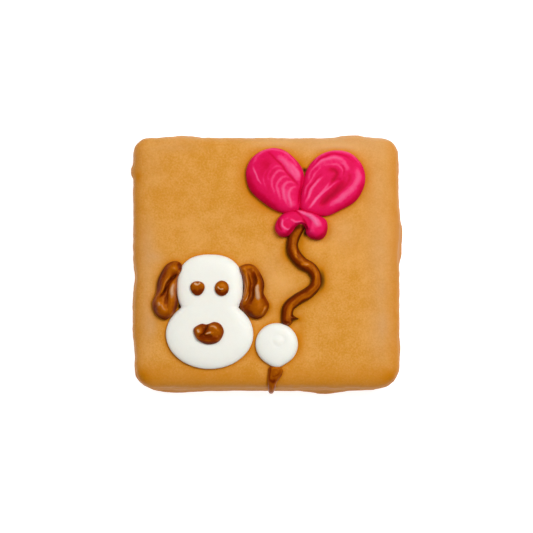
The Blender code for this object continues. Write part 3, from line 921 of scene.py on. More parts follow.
# %% [markdown]
# ## The paw
#
# The paw is one round drop with a small spout towards the tail. The nozzle was lifted straight up,
# which left a low peak with a faint ring round it, a little above the middle. A flattened sphere could
# stand for it, but flooded icing has a steeper edge and a flatter top, so it is a drop like the face.

# %% The paw
PAW_CENTRE = np.array((2.6, -20.2))
PAW_RADIUS = 5.2
PAW_HEIGHT = 1.9
PAW_PEAK = ((3.0, -19.4, 0.8), (3.1, -19.4, 0.8))
RING_AWAY, RING_HALF = 1.35, 0.35  # the faint ring round the peak
SPOUT = (-91.0, 17.0, 0.11)  # direction and half width in degrees, and length as a share of the radius


def paw_outline(count):
    turns = np.linspace(-180.0, 180.0, count, endpoint=False)
    direction, spread, share = SPOUT
    reach = PAW_RADIUS * (1 + share * np.exp(-(((turns - direction) / spread) ** 2)))
    rays = np.column_stack([np.cos(np.radians(turns)), np.sin(np.radians(turns))])
    return PAW_CENTRE + rays * reach[:, None]


def peak_ring(route, depth):
    """A faint ring pressed round the start of a route."""
    def lift(points):
        away = np.hypot(*(points - np.array(route[0][:2])).T)
        return -depth * np.exp(-(((away - RING_AWAY) / RING_HALF) ** 2))

    return lift


PAW_MARKS = ((ridge, PAW_PEAK, 0.16), (peak_ring, PAW_PEAK, 0.03))
paw = drop(
    "paw_drop", paw_outline(count=220), [place[:2] for place in PAW_PEAK], PAW_HEIGHT, FLOODED,
    coating_height, white, PAW_MARKS,
)
print("the paw has", len(paw.data.vertices), "vertices")

# %% [markdown]
# ## The ears
#
# Each ear is stiff icing pushed out in a few strokes side by side, so it has long folds that meet near
# the top. The strokes are read from the photo as routes: a pale band is the crest of a stroke, and a
# dark line is the crease between two. The folds could be sculpted with a brush, but as routes they keep
# their widths and can be set against the photo one by one. The same rows, as tones, also colour the
# ear: paler on crests, with painted highlights, and darker in creases and on the sides away from the
# lamps, which is painted shade.

# %% The left ear
EAR_HEIGHT = 2.6
EAR_LEFT_SPINE = ((-23.2, -2.4), (-24.7, -11.2))
EAR_LEFT = (
    (-22.6, 0.2), (-20.9, -0.3), (-20.5, -1.9), (-21.6, -4.2), (-21.9, -8.4), (-21.6, -10.3),
    (-22.1, -12.1), (-23.5, -13.7), (-25.0, -14.2), (-27.0, -12.9), (-27.9, -10.2), (-26.9, -7.5),
    (-26.4, -4.2), (-24.6, -0.9),
)


OUTLINE_STEPS = 16


def piped_outline(points, count):
    """A closed outline through a few points, read again evenly and turned to run to the left."""
    line = evenly(smooth_curve(points, OUTLINE_STEPS, closed=True), count, closed=True)
    x, y = line.T
    turns_left = np.sum(x * np.roll(y, -1) - np.roll(x, -1) * y) > 0
    return line if turns_left else line[::-1]


STROKES_EAR_LEFT = (
    (0.8, 0.25, [(-23.5, -3.5), (-24.7, -5.8), (-25.7, -8.1)]),
    (-1.2, 0.28, [(-21.7, -3.3), (-23.5, -4.8), (-24.8, -6.9), (-25.9, -8.7)]),
    (1, 0.45, [(-22.7, -5.2), (-22.8, -6.8), (-22.7, -8.7)]),
    (-0.6, 0.3, [(-23.8, -6), (-24.3, -8.5), (-24.6, -10.6)]),
    (0.6, 0.5, [(-22.8, -1.6), (-21.6, -2.1)]),
    (-0.7, 0.4, [(-24.3, -0.6), (-25.6, -2.7), (-26.2, -4.8), (-26.5, -7.2)]),
    (0.6, 0.45, [(-25.7, -10.4), (-24.9, -11.8), (-23.9, -12.2)]),
    (-0.7, 0.5, [(-27.2, -10.6), (-27.2, -12.6), (-26, -13.9), (-23.9, -14.1)]),
    (-0.7, 0.4, [(-21.4, -8.5), (-21.8, -10.6), (-22.6, -12.6)]),
    (-0.7, 0.4, [(-21.4, -0.4), (-20.8, -2.3)]),
    (1.3, 0.14, [(-22.4, -3.7), (-23.6, -5.0), (-24.7, -6.6)]),
    (0.55, 0.5, [(-23.4, -6.2), (-23.1, -8.0), (-23.2, -9.6)]),
    (0.8, 0.35, [(-26.3, -9.8), (-26.1, -11.0)]),
)
EAR_LEFT_MARKS = (
    (strokes, [
        [
            (-22.2, -1.0, 1.4), (-23.5, -2.6, 1.1), (-24.4, -4.6, 0.9), (-25.3, -6.8, 0.8),
            (-26.0, -8.4, 0.7),
        ],
        [
            (-20.9, -1.8, 0.5), (-21.6, -3.8, 0.7), (-22.7, -5.8, 1.1), (-23.0, -9.8, 1.3),
            (-23.0, -12.6, 1.3),
        ],
        [(-26.0, -9.0, 1.5), (-25.2, -12.2, 2.0)],
    ], 0.4),
    (crease, [
        (-21.2, -2.9, 0.3), (-22.7, -3.9, 0.35), (-23.9, -4.9, 0.35), (-24.9, -6.9, 0.3), (-25.9, -8.6, 0.2),
    ], 0.6),
    (combed, STROKES_EAR_LEFT, 0.3),
)
# the rows as colour: painted highlights on the crests, painted shade in the creases and on the lower and
# outer sides
EAR_LEFT_TONES = ((combed, STROKES_EAR_LEFT, 0.7),)
ear_left = drop(
    "ear_left_piped", piped_outline(EAR_LEFT, count=260), EAR_LEFT_SPINE, EAR_HEIGHT, PIPED,
    coating_height, brown, EAR_LEFT_MARKS, EAR_LEFT_TONES,
)
print("the left ear has", len(ear_left.data.polygons), "faces")

# %% The right ear
EAR_RIGHT = (
    (-4.5, -0.5), (-6.5, -1.3), (-6.0, -3.4), (-5.5, -5.9), (-5.7, -8.6), (-6.5, -10.8), (-4.0, -13.5),
    (-1.8, -14.0), (-0.1, -12.9), (0.8, -10.7), (0.1, -9.0), (-0.6, -7.6), (-0.4, -5.5), (-1.1, -3.3),
    (-2.6, -1.1),
)
EAR_RIGHT_SPINE = ((-4.2, -2.8), (-2.7, -10.8))
STROKES_EAR_RIGHT = (
    (0.6, 0.4, [(-5.9, -2.1), (-4.8, -1.4), (-3.2, -1.4)]),
    (-0.5, 0.2, [(-4.8, -2.3), (-4, -4.3), (-3.8, -6.4), (-4.4, -8.9)]),
    (0.6, 0.2, [(-5.3, -2.7), (-4.6, -4.8), (-4.8, -7.2), (-5.5, -9.7)]),
    (0.6, 0.2, [(-4, -3.1), (-3.5, -5.2), (-3.8, -7.7), (-4.6, -10.2)]),
    (-1, 0.4, [(-3, -2.5), (-2.6, -4.8), (-3, -7.2), (-3.8, -10.2)]),
    (1.7, 0.6, [(-2.2, -5.4), (-2.2, -7.7), (-1.9, -9.6)]),
    (1.0, 0.15, [(-5.0, -5.2), (-5.3, -7.2), (-5.7, -9.2)]),
    (1.0, 0.15, [(-4.3, -7.6), (-4.9, -9.6)]),
    (-0.9, 0.45, [(-1.1, -3.1), (-0.5, -5.2), (-0.5, -7.2), (-0.9, -8.7)]),
    (0.8, 0.25, [(-0.1, -10.8), (-0.5, -12.2), (-1.1, -13.1)]),
    (-0.6, 0.5, [(-4.8, -12.2), (-2.8, -13.9), (-0.7, -13.7)]),
    (0.6, 0.2, [(-5.3, -9.9), (-4.8, -9.1)]),
    (-0.6, 0.25, [(-5.9, -3.1), (-5.9, -5.6), (-5.8, -8.1)]),
)
EAR_RIGHT_MARKS = (
    (strokes, [
        [(-5.6, -1.9, 1.2), (-4.7, -3.6, 1.1), (-4.6, -6.4, 1.0), (-5.0, -8.4, 0.9), (-5.4, -10.2, 0.8)],
        [(-2.9, -2.2, 1.3), (-2.2, -5.0, 1.3), (-2.2, -7.4, 1.5), (-2.3, -9.6, 2.0), (-2.0, -11.6, 2.6)],
    ], 0.4),
    (crease, [
        (-3.4, -2.6, 0.4), (-3.2, -4.5, 0.5), (-3.5, -6.4, 0.5), (-4.1, -8.2, 0.4), (-4.7, -10.6, 0.3),
    ], 0.4),
    (combed, STROKES_EAR_RIGHT, 0.3),
)
# the rows as colour: painted highlights on the crests, painted shade in the creases and on the lower and
# outer sides
EAR_RIGHT_TONES = ((combed, STROKES_EAR_RIGHT, 0.7),)
ear_right = drop(
    "ear_right_piped", piped_outline(EAR_RIGHT, count=260), EAR_RIGHT_SPINE, EAR_HEIGHT, PIPED,
    coating_height, brown, EAR_RIGHT_MARKS, EAR_RIGHT_TONES,
)
print("the right ear has", len(ear_right.data.polygons), "faces")

# %% [markdown]
# ## The eyes and the nose
#
# The eyes are dots: the left one slumped to a soft heart with a glint on top, the right one kept the
# swirl of the nozzle. The nose is one stroke that curls back over itself, so it has a ball at the left,
# a coil at the right, a fold between them, and a small tip where the stroke stopped in the coil. Balls
# pushed into the face could stand for the dots, but icing spreads a little at its foot, so all three
# are drops too, laid on the face instead of the coating.

# %% The eyes
EYE_HEIGHT = 1.1
EYE_LEFT_SPINE = ((-16.75, -6.6), (-16.7, -6.6))
EYE_RIGHT_SPINE = ((-10.8, -6.6), (-10.75, -6.6))
EYE_LEFT_ROUND = ((-16.75, -6.55), 1.78, 3, 0.05, -90)  # centre, radius, lobes, their share, direction
EYE_RIGHT_ROUND = ((-10.8, -6.6), 1.84, 2, 0.04, 90)
EYE_LEFT_MARKS = (
    (ridge, [(-17.5, -5.8, 0.5), (-17.4, -5.8, 0.5)], 0.15),
    (ridge, [(-16.0, -5.8, 0.5), (-15.9, -5.8, 0.5)], 0.15),
    (crease, [(-16.6, -4.7, 0.25), (-16.6, -6.0, 0.25)], 0.25),
)
# painted shade on the lower half, and the painted highlight of the glint on top
EYE_LEFT_TONES = (
    (ridge, [(-17.6, -7.4, 0.6), (-16.7, -8.0, 0.6), (-15.8, -7.3, 0.6)], -0.5),
    (ridge, [(-17.3, -5.45, 0.18), (-16.95, -5.7, 0.2), (-16.6, -5.8, 0.2), (-16.2, -5.45, 0.18)], 2.2),
)
EYE_RIGHT_MARKS = (
    (ridge, [(-10.9, -6.0, 0.9), (-10.85, -6.0, 0.9)], 0.16),
    (ridge, [(-11.7, -6.5, 0.18), (-11.1, -7.0, 0.18), (-10.2, -6.8, 0.18)], 0.16),
    (ridge, [(-11.4, -7.2, 0.2), (-11.3, -7.25, 0.2)], -0.35),
)
# painted shade round the lower rim, and painted highlights on the crescent and the disc on top
EYE_RIGHT_TONES = (
    (ridge, [(-12.0, -7.4, 0.4), (-10.8, -8.1, 0.45), (-9.6, -7.4, 0.4)], -0.6),
    (ridge, [(-11.7, -6.4, 0.12), (-11.2, -6.95, 0.14), (-10.5, -6.85, 0.14)], 1.6),
    (ridge, [(-11.0, -5.9, 0.5), (-10.7, -5.9, 0.5)], 0.3),
)


def round_outline(centre, radius, lobes, share, direction, count=120):
    """A circle that swells into this many soft lobes, the first in this direction in degrees."""
    turns = np.linspace(0.0, 2 * math.pi, count, endpoint=False)
    reach = radius * (1 + share * np.cos(lobes * (turns - math.radians(direction))))
    return np.array(centre) + np.column_stack([np.cos(turns), np.sin(turns)]) * reach[:, None]


eye_left = drop(
    "eye_left_dot", round_outline(*EYE_LEFT_ROUND), EYE_LEFT_SPINE, EYE_HEIGHT, PIPED, face_height, brown,
    EYE_LEFT_MARKS, EYE_LEFT_TONES, quad=0.1,
)
eye_right = drop(
    "eye_right_dot", round_outline(*EYE_RIGHT_ROUND), EYE_RIGHT_SPINE, EYE_HEIGHT, PIPED, face_height, brown,
    EYE_RIGHT_MARKS, EYE_RIGHT_TONES, quad=0.1,
)
print("eyes:", len(eye_left.data.polygons), "and", len(eye_right.data.polygons), "faces")

# %% The nose
NOSE = (
    (-17.7, -16.6), (-15.9, -15.3), (-14.4, -15.4), (-12.5, -14.8), (-10.9, -15.6),
    (-10.3, -17.5), (-11.6, -19.7), (-14.3, -20.3), (-16.8, -19.1),
)
NOSE_SPINE = ((-16.1, -17.1), (-12.7, -17.6))
NOSE_HEIGHT = 1.4
STROKES_NOSE = (
    (-0.8, 0.2, [(-14.4, -15.6), (-14.9, -17.2), (-15.4, -17.8), (-16.4, -17.8)]),
    (2.2, 0.2, [(-14.6, -17.7), (-13.9, -17.5), (-13.3, -17.5)]),
    (-0.9, 0.5, [(-16.4, -18.7), (-14.4, -18.9), (-11.5, -18.8)]),
    (1.3, 0.3, [(-13.9, -16.0), (-12.8, -16.0), (-11.9, -16.6)]),
    (2.0, 0.32, [(-16.8, -16.8), (-16.3, -17.5)]),
    (-0.8, 0.5, [(-16.8, -19.4), (-14.4, -20.2), (-11.6, -19.7)]),
)
NOSE_MARKS = (
    (strokes, [
        [(-16.5, -16.9, 1.4), (-16.3, -17.7, 1.4)],
        [(-12.6, -16.7, 1.8), (-12.3, -17.3, 1.9)],
        [(-16.6, -18.9, 1.1), (-14.4, -19.3, 1.2), (-12.0, -18.9, 1.2)],
    ], 0.4),
    (crease, [
        (-14.2, -15.2, 0.25), (-14.8, -16.6, 0.3), (-15.0, -17.6, 0.3), (-15.8, -18.3, 0.25),
        (-16.8, -18.5, 0.2),
    ], 0.5),
    (crease, [(-15.2, -18.2, 0.2), (-14.2, -18.4, 0.25), (-13.0, -18.5, 0.2)], 0.3),
    (ridge, [(-14.6, -17.9, 0.25), (-13.7, -17.65, 0.32), (-13.2, -17.8, 0.3)], 0.4),
    (ridge, [(-13.7, -16.0, 0.3), (-12.4, -16.4, 0.35), (-11.5, -17.3, 0.3)], 0.12),
)
# the rows as colour: painted highlights on the ball, the coil and the tip, and painted shade in the fold and
# on the lower half
NOSE_TONES = ((combed, STROKES_NOSE, 0.7),)
nose = drop(
    "nose_curl", piped_outline(NOSE, count=180), NOSE_SPINE, NOSE_HEIGHT, PIPED, face_height, brown,
    NOSE_MARKS, NOSE_TONES, quad=0.1,
)
print("the nose has", len(nose.data.polygons), "faces")

# %% [markdown]
# ## The balloon's lobes
#
# Each lobe is a teardrop filled from the outside in: the nozzle went round, then round again inside,
# and was dragged down to the knot. That leaves arcs nested about a line that ends at the knot, and
# broad bands where the last strokes lie over the first. They are shallow, and the icing isn't stirred
# to one tone either, so the same rows of strokes give a little height and more of the colour. That
# colour is in part streaks of the icing and in part painted light and shade: painted highlights along
# the crests and the rims, and painted shade along the lower edges and the creases. One lobe could be
# mirrored to give the other, but the real ones differ, so each has its own outline.

# %% The left lobe
LOBE_HEIGHT = 2.8
LOBE_LEFT_SPINE = ((1.2, 22.2), (5.6, 14.6))
LOBE_LEFT = (
    (2.1, 28.1), (-1.0, 27.4), (-3.5, 25.6), (-4.8, 23.1), (-4.9, 20.6), (-4.1, 17.9), (-2.4, 15.9),
    (0.0, 14.0), (2.5, 12.5), (5.2, 11.9), (8.1, 12.8), (8.6, 16.9), (9.4, 20.2), (8.9, 22.9),
    (7.3, 25.2), (4.8, 27.3),
)
LAST_STROKE = (
    (1.6, 26.6, 1.6), (2.9, 25.4, 1.8), (4.6, 23.4, 1.9), (6.2, 21.0, 1.8), (7.8, 18.9, 1.5),
    (8.6, 17.0, 1.2),
)
STROKES_LEFT = (
    (0.45, 0.4, [
        (-3.5, 23.5), (-2.4, 25.6), (-1, 27), (1.1, 27.6),
        (3.1, 27.5), (5, 26.7), (6.7, 25), (7.9, 23.1),
    ]),
    (0.5, 0.8, [(2.5, 25.8), (4.2, 24.6), (5.6, 23.1), (6.9, 21.5), (8.1, 19.8)]),
    (0.6, 0.4, [(6, 24.2), (7.3, 22.5), (8.4, 20.4)]),
    (0.8, 0.25, [(-3.1, 23.5), (-2.7, 21.9), (-2, 20.2), (-1.2, 19)]),
    (0.45, 0.36, [(0.7, 19.4), (0.5, 21.1), (1.1, 22.5), (2.5, 23.3), (4, 23.1)]),
    (0.5, 0.36, [(2.1, 16.5), (1.4, 19), (1.7, 20.6), (2.7, 21.9), (4.2, 22.1), (5.4, 21.5)]),
    (0.5, 0.36, [(3.5, 14.8), (2.8, 17.3), (2.8, 19.2), (3.6, 20.4), (4.8, 20.8), (6, 20.4)]),
    (0.55, 0.36, [(4.9, 14), (4.3, 16.5), (4.3, 18.2), (5, 19.2), (6.2, 19.4), (7.1, 19)]),
    (0.55, 0.3, [(6.2, 13.2), (5.7, 15.7), (5.8, 17.3), (6.7, 18.2), (7.5, 18.2)]),
    (-0.4, 1.4, [(-0.2, 25.2), (0.2, 22.7), (-0.2, 20.2)]),
    (-0.7, 0.25, [(0.5, 26.7), (2.5, 25), (4.2, 23.1), (5.4, 21.5), (6.9, 19.8), (7.9, 18.8)]),
    (-0.6, 0.8, [(-4.7, 21.5), (-3.9, 19), (-2.2, 16.7), (0.2, 14.6), (3.1, 12.5)]),
    (-0.6, 0.3, [(9.1, 21.5), (8.5, 18.6), (8.1, 16.1), (7.9, 13.6)]),
    (-0.5, 0.3, [(1.9, 28), (4.8, 27.4), (7.3, 25.6), (8.9, 23.1)]),
    (0.35, 0.3, [(0.1, 17.5), (-0.6, 19.6), (-0.3, 21.6), (0.8, 23.2), (2.4, 24.2)]),
    (0.3, 1.6, [(4.0, 18.6), (5.6, 15.6), (6.6, 12.8)]),
)
LOBE_LEFT_MARKS = (
    (lip, LAST_STROKE, 0.25, 0.3), (crease, [(x, y, 0.5) for x, y, _ in LAST_STROKE], 0.15),
    (combed, STROKES_LEFT, 0.06),
)
# the rows as colour: streaks of the icing, painted highlights and painted shade
LOBE_LEFT_TONES = ((combed, STROKES_LEFT, 0.85),)
lobe_left = drop(
    "balloon_lobe_left", piped_outline(LOBE_LEFT, count=340), LOBE_LEFT_SPINE, LOBE_HEIGHT, PIPED,
    coating_height, pink, LOBE_LEFT_MARKS, LOBE_LEFT_TONES,
)
print("the left lobe has", len(lobe_left.data.polygons), "faces")

# %% The right lobe
LOBE_RIGHT = (
    (17.2, 27.5), (13.9, 26.7), (11.4, 24.8), (9.8, 22.3), (9.0, 19.0), (8.3, 15.7), (8.5, 12.8),
    (11.4, 11.5), (15.1, 11.3), (18.5, 12.8), (21.4, 14.4), (23.2, 16.5), (24.3, 19.4), (24.2, 22.3),
    (23.0, 24.8), (20.5, 26.9),
)
LOBE_RIGHT_SPINE = ((18.3, 21.9), (15.9, 19.6), (10.5, 14.2))
STROKES_RIGHT = (
    (0.45, 0.35, [
        (11.4, 23.5), (12.7, 25.6), (14.7, 26.9), (17.2, 27.3),
        (19.7, 26.9), (21.8, 25.6), (23.2, 23.8),
    ]),
    (0.6, 0.35, [(10.2, 19.8), (11, 22.3), (12.7, 24.2), (15.1, 25.2), (17.6, 25.4), (19.5, 24.6)]),
    (-0.5, 0.25, [(10.6, 21.5), (11.8, 23.8), (13.9, 25.6), (16.8, 26.4), (19.3, 26), (21.1, 24.6)]),
    (-0.8, 0.5, [(15.1, 22.4), (16.6, 22.5), (17.3, 21.5), (16.8, 20.2), (15.8, 19.2)]),
    (0.5, 0.6, [(18.5, 24.6), (19.5, 23.5), (20.1, 21.9)]),
    (-0.4, 0.2, [(18.5, 23.5), (19.1, 22.3), (19, 21.1)]),
    (0.6, 0.3, [(16, 19.8), (13.9, 17.3), (11.8, 14.8), (10.8, 13.2)]),
    (0.7, 0.3, [(18.5, 20), (16.4, 18.8), (13.9, 16.7), (11.8, 14.6), (10.2, 12.8)]),
    (0.5, 0.35, [(14.3, 21.1), (12.2, 19), (10.6, 16.5), (9.6, 14)]),
    (-0.35, 0.2, [(13.7, 21.5), (11.6, 19.4), (10.2, 17.1), (9.3, 14.8)]),
    (0.45, 0.3, [(13.1, 22.7), (11.4, 20.6), (10, 18.2), (9.1, 15.7)]),
    (-0.9, 0.75, [(19, 20), (17.8, 17.9), (15.6, 15.7), (13.3, 13.8)]),
    (0.7, 0.8, [(22.2, 23.1), (22.6, 20.6), (21.8, 18.6), (20.1, 16.9), (17.6, 15), (15.1, 13.6)]),
    (-0.35, 0.4, [(20.1, 22.3), (20.5, 20.6), (19.7, 19), (18, 16.9)]),
    (-0.6, 0.8, [(24.3, 19.4), (22.4, 15.9), (19.5, 13.2), (16, 11.5)]),
    (0.4, 0.3, [(13.0, 20.2), (11.2, 17.8), (10.1, 15.2)]),
    (0.25, 1.5, [(12.4, 22.6), (15.4, 24.8), (19.4, 25.6)]),
    (0.35, 0.3, [(15.2, 23.6), (17.2, 23.8), (18.6, 22.6), (18.6, 21.2)]),
)
LOBE_RIGHT_MARKS = (
    (ridge, [(17.9, 19.9, 0.5), (15.9, 17.2, 0.8), (13.4, 14.0, 0.5)], -0.25),
    (combed, STROKES_RIGHT, 0.07),
)
# the rows as colour: streaks of the icing, painted highlights and painted shade
LOBE_RIGHT_TONES = ((combed, STROKES_RIGHT, 0.85),)
lobe_right = drop(
    "balloon_lobe_right", piped_outline(LOBE_RIGHT, count=340), LOBE_RIGHT_SPINE, LOBE_HEIGHT, PIPED,
    coating_height, pink, LOBE_RIGHT_MARKS, LOBE_RIGHT_TONES,
)
print("the right lobe has", len(lobe_right.data.polygons), "faces")

# %% [markdown]
# ## The knot
#
# The knot is a short arch with a bulb at each end, piped over the bottoms of both lobes. It is a drop
# like the others, but its spine bends with it. The nozzle turned twice, so a fold runs along its top
# and one round each bulb. It could be a swept tube, but a drop gives it the same foot as the lobes.

# %% The knot
KNOT = (
    (8.1, 12.8), (5.2, 12.3), (3.3, 11.1), (2.3, 9.4), (2.2, 7.8), (3.3, 6.3), (5.0, 6.1),
    (6.5, 7.1), (7.5, 8.4), (8.7, 8.9), (9.6, 8.2), (9.8, 6.9), (11.0, 5.7), (13.1, 5.4),
    (14.5, 6.3), (15.1, 8.2), (14.7, 10.3), (12.7, 11.5), (10.6, 12.3),
)
KNOT_SPINE = (
    (4.1, 8.2), (4.4, 9.4), (5.4, 10.2), (7.0, 10.7), (8.6, 10.8), (10.3, 10.2), (11.6, 9.2), (12.4, 8.3),
    (12.5, 7.9),
)
KNOT_HEIGHT = 2.9
STROKES_KNOT = (
    (1, 0.35, [(7.6, 12.5), (9.6, 11.7), (11.2, 10.5), (12.7, 8.6)]),
    (0.5, 0.5, [(10.2, 11.5), (12.2, 10.3), (13.5, 8.6)]),
    (0.7, 0.22, [(3.9, 10.3), (4.1, 8.6), (5.2, 7.7), (6, 8.3)]),
    (0.5, 0.25, [(6, 10.3), (7.5, 9.6), (8.7, 9.8)]),
    (-0.8, 0.25, [(9, 10.5), (9.7, 9), (10.2, 7.4)]),
    (-0.6, 0.25, [(3.1, 10.3), (3.2, 8.6), (3.8, 7.4)]),
    (-0.6, 0.4, [(3.6, 6.5), (5.2, 6.7), (6.5, 8.2), (8.1, 8.9), (9.6, 8.4)]),
    (-0.7, 0.5, [(10.6, 6.3), (12.2, 5.5), (14.3, 6.5), (14.9, 8.6)]),
    (-0.5, 0.25, [(4.6, 12.1), (6.5, 12.5), (7.7, 11.9), (8.9, 10.9)]),
)
KNOT_MARKS = (
    (lip, [(9.6, 11.6, 1.6), (10.6, 10.2, 1.8), (10.9, 8.6, 1.6), (10.4, 6.8, 1.2)], 0.3, 0.15),
    (lip, [(5.0, 7.0, 1.0), (4.3, 8.4, 1.2), (4.7, 9.8, 1.2), (6.0, 10.6, 1.0)], 0.2, 0.15),
    (combed, STROKES_KNOT, 0.25),
)
# the rows as colour: painted highlights on the arch and the bulbs, and painted shade in the grooves and round
# the foot
KNOT_TONES = ((combed, STROKES_KNOT, 1.0),)
knot = drop(
    "balloon_bow", piped_outline(KNOT, count=260), KNOT_SPINE, KNOT_HEIGHT, PIPED, coating_height, pink,
    KNOT_MARKS, KNOT_TONES, quad=0.13,
)
print("the knot has", len(knot.data.polygons), "faces")

# %% [markdown]
# ## Piped lines
#
# The string and the tail are each one squeeze along a route. Their shape follows a rule: at every
# station the section is a flat-bottomed arch, as wide and as high as the hand made it there. So they
# are a Geometry Nodes tree. The script gives it only a chain of stations, each with its width to
# the left and right, its height and the way that is up. The tree sweeps a circle along the chain,
# bends that circle into the arch, and adds the slight wobble of a hand. The steps that bend it are
# written as rows, and one loop adds their nodes.

# %% The steps that bend a circle into the arch
LINE_STEPS = (  # each step's name, kind of node, what it does, and sockets that take a value or a name
    ("crossed", VECTORS, "CROSS_PRODUCT", {0: "way", 1: "up"}),
    ("across now", VECTORS, "NORMALIZE", {0: "crossed"}),
    ("bent", MATHS, "DIVIDE", {0: 2.0, 1: "Squareness"}),
    ("wide", MATHS, "ABSOLUTE", {0: "section x"}),
    ("size", MATHS, "POWER", {0: "wide", 1: "bent"}),
    ("sign", MATHS, "SIGN", {0: "section x"}),
    ("full reach", MATHS, "MULTIPLY", {0: "size", 1: "sign"}),
    ("upper", MATHS, "MAXIMUM", {0: "section y", 1: 0.0}),
    ("arch rise", MATHS, "POWER", {0: "upper", 1: "bent"}),
    ("low part", MATHS, "DIVIDE", {0: "arch rise", 1: WIDEST_AT}),
    ("low share", MATHS, "MINIMUM", {0: "low part", 1: 1.0}),
    ("foot", MATHS, "SUBTRACT", {0: 1.0, 1: "low share"}),
    ("tucked", MATHS, "MULTIPLY", {0: "foot", 1: "Tuck"}),
    ("kept", MATHS, "SUBTRACT", {0: 1.0, 1: "tucked"}),
    ("reach", MATHS, "MULTIPLY", {0: "full reach", 1: "kept"}),
    ("on the right", MATHS, "GREATER_THAN", {0: "reach", 1: 0.0}),
    ("half", CHOICE, "FLOAT", {"Switch": "on the right", "False": "left", "True": "right"}),
    ("out", MATHS, "MULTIPLY", {0: "reach", 1: "half"}),
    ("sideways", VECTORS, "SCALE", {0: "across", "Scale": "out"}),
    ("tall", MATHS, "ADD", {0: "rise", 1: "Sink"}),
    ("lifted", MATHS, "MULTIPLY", {0: "arch rise", 1: "tall"}),
    ("sunk", MATHS, "SUBTRACT", {0: "lifted", 1: "Sink"}),
    ("upwards", VECTORS, "SCALE", {0: "up", "Scale": "sunk"}),
    ("moved", VECTORS, "ADD", {0: "sideways", 1: "upwards"}),
    ("arch", VECTORS, "ADD", {0: "middle", 1: "moved"}),
    ("pace", MATHS, "DIVIDE", {0: 1.0, 1: "Wobble length"}),
    ("shake", MATHS, "MULTIPLY", {0: "Wobble depth", 1: "arch rise"}),
)


print("the arch takes", len(LINE_STEPS), "steps")

# %% A tree for piped lines
def piped_line_tree():
    tree, given = new_tree("piped_line", {
        "Section points": "Int", "Squareness": "Float", "Sink": "Float", "Tuck": "Float",
        "Wobble depth": "Float", "Wobble length": "Float", "Seed": "Float", "Icing": "Material",
    })
    place = add_node(tree, "GeometryNodeInputPosition").outputs[0]
    known = {label: given[label] for label in ("Squareness", "Sink", "Tuck", "Wobble depth", "Wobble length")}
    known["way"] = add_node(tree, "GeometryNodeInputTangent").outputs[0]
    carried = {label: "FLOAT_VECTOR" for label in ("up", "across", "middle", "section")}
    carried.update({label: "FLOAT" for label in ("left", "right", "rise")})
    for label, kind in carried.items():
        known[label] = add_node(
            tree, "GeometryNodeInputNamedAttribute", {"Name": label}, data_type=kind
        ).outputs[0]
    section = add_node(tree, "ShaderNodeSeparateXYZ", {0: known["section"]}).outputs
    known["section x"], known["section y"] = section["X"], section["Y"]
    for name, kind, choice, sockets in LINE_STEPS:
        filled = {socket: known.get(value, value) for socket, value in sockets.items()}
        option = "input_type" if kind == CHOICE else "operation"
        known[name] = add_node(tree, kind, filled, **{option: choice}).outputs[0]

    line = add_node(tree, "GeometryNodeMeshToCurve", {"Mesh": given["Geometry"]}).outputs[0]
    for label, value in (("across", known["across now"]), ("middle", place)):
        line = add_node(tree, "GeometryNodeStoreNamedAttribute", {
            "Geometry": line, "Name": label, "Value": value,
        }, data_type="FLOAT_VECTOR").outputs[0]
    circle = add_node(tree, "GeometryNodeCurvePrimitiveCircle", {
        "Resolution": given["Section points"], "Radius": 1.0,
    }).outputs[0]
    circle = add_node(tree, "GeometryNodeStoreNamedAttribute", {
        "Geometry": circle, "Name": "section", "Value": place,
    }, data_type="FLOAT_VECTOR").outputs[0]
    swept = add_node(tree, "GeometryNodeCurveToMesh", {
        "Curve": line, "Profile Curve": circle, "Scale": 0.1 * MM, "Fill Caps": True,
    }).outputs[0]
    shaped = add_node(tree, "GeometryNodeSetPosition", {
        "Geometry": swept, "Position": known["arch"],
    }).outputs[0]

    noise = add_node(tree, "ShaderNodeTexNoise", {
        "Vector": place, "W": given["Seed"], "Scale": known["pace"], "Detail": 2.0,
    }, noise_dimensions="4D").outputs["Color"]
    centred = add_node(tree, VECTORS, {0: noise, 1: (0.5, 0.5, 0.5)}, operation="SUBTRACT").outputs[0]
    wobble = add_node(tree, VECTORS, {0: centred, "Scale": known["shake"]}, operation="SCALE").outputs[0]
    wobbled = add_node(tree, "GeometryNodeSetPosition", {"Geometry": shaped, "Offset": wobble}).outputs[0]
    return finish_tree(tree, wobbled, given["Icing"])


piped_line = piped_line_tree()
print("the piped line tree has", len(piped_line.nodes), "nodes")

# %% [markdown]
# ## Laying a line
#
# A chain of stations is a mesh of points and edges with four attributes. Each line could have a curve
# object of its own with a bevel, but a bevel is round all over. So one function lays every line: it
# makes the chain, lets the tree sweep it, and embosses the marks.

# %% Lay a line of icing
SECTION_POINTS, LINE_SQUARENESS, WOBBLE_LENGTH = 48, 2.6, 2.5 * MM
ROUTE_STEPS = 12  # steps between two points of a line's route


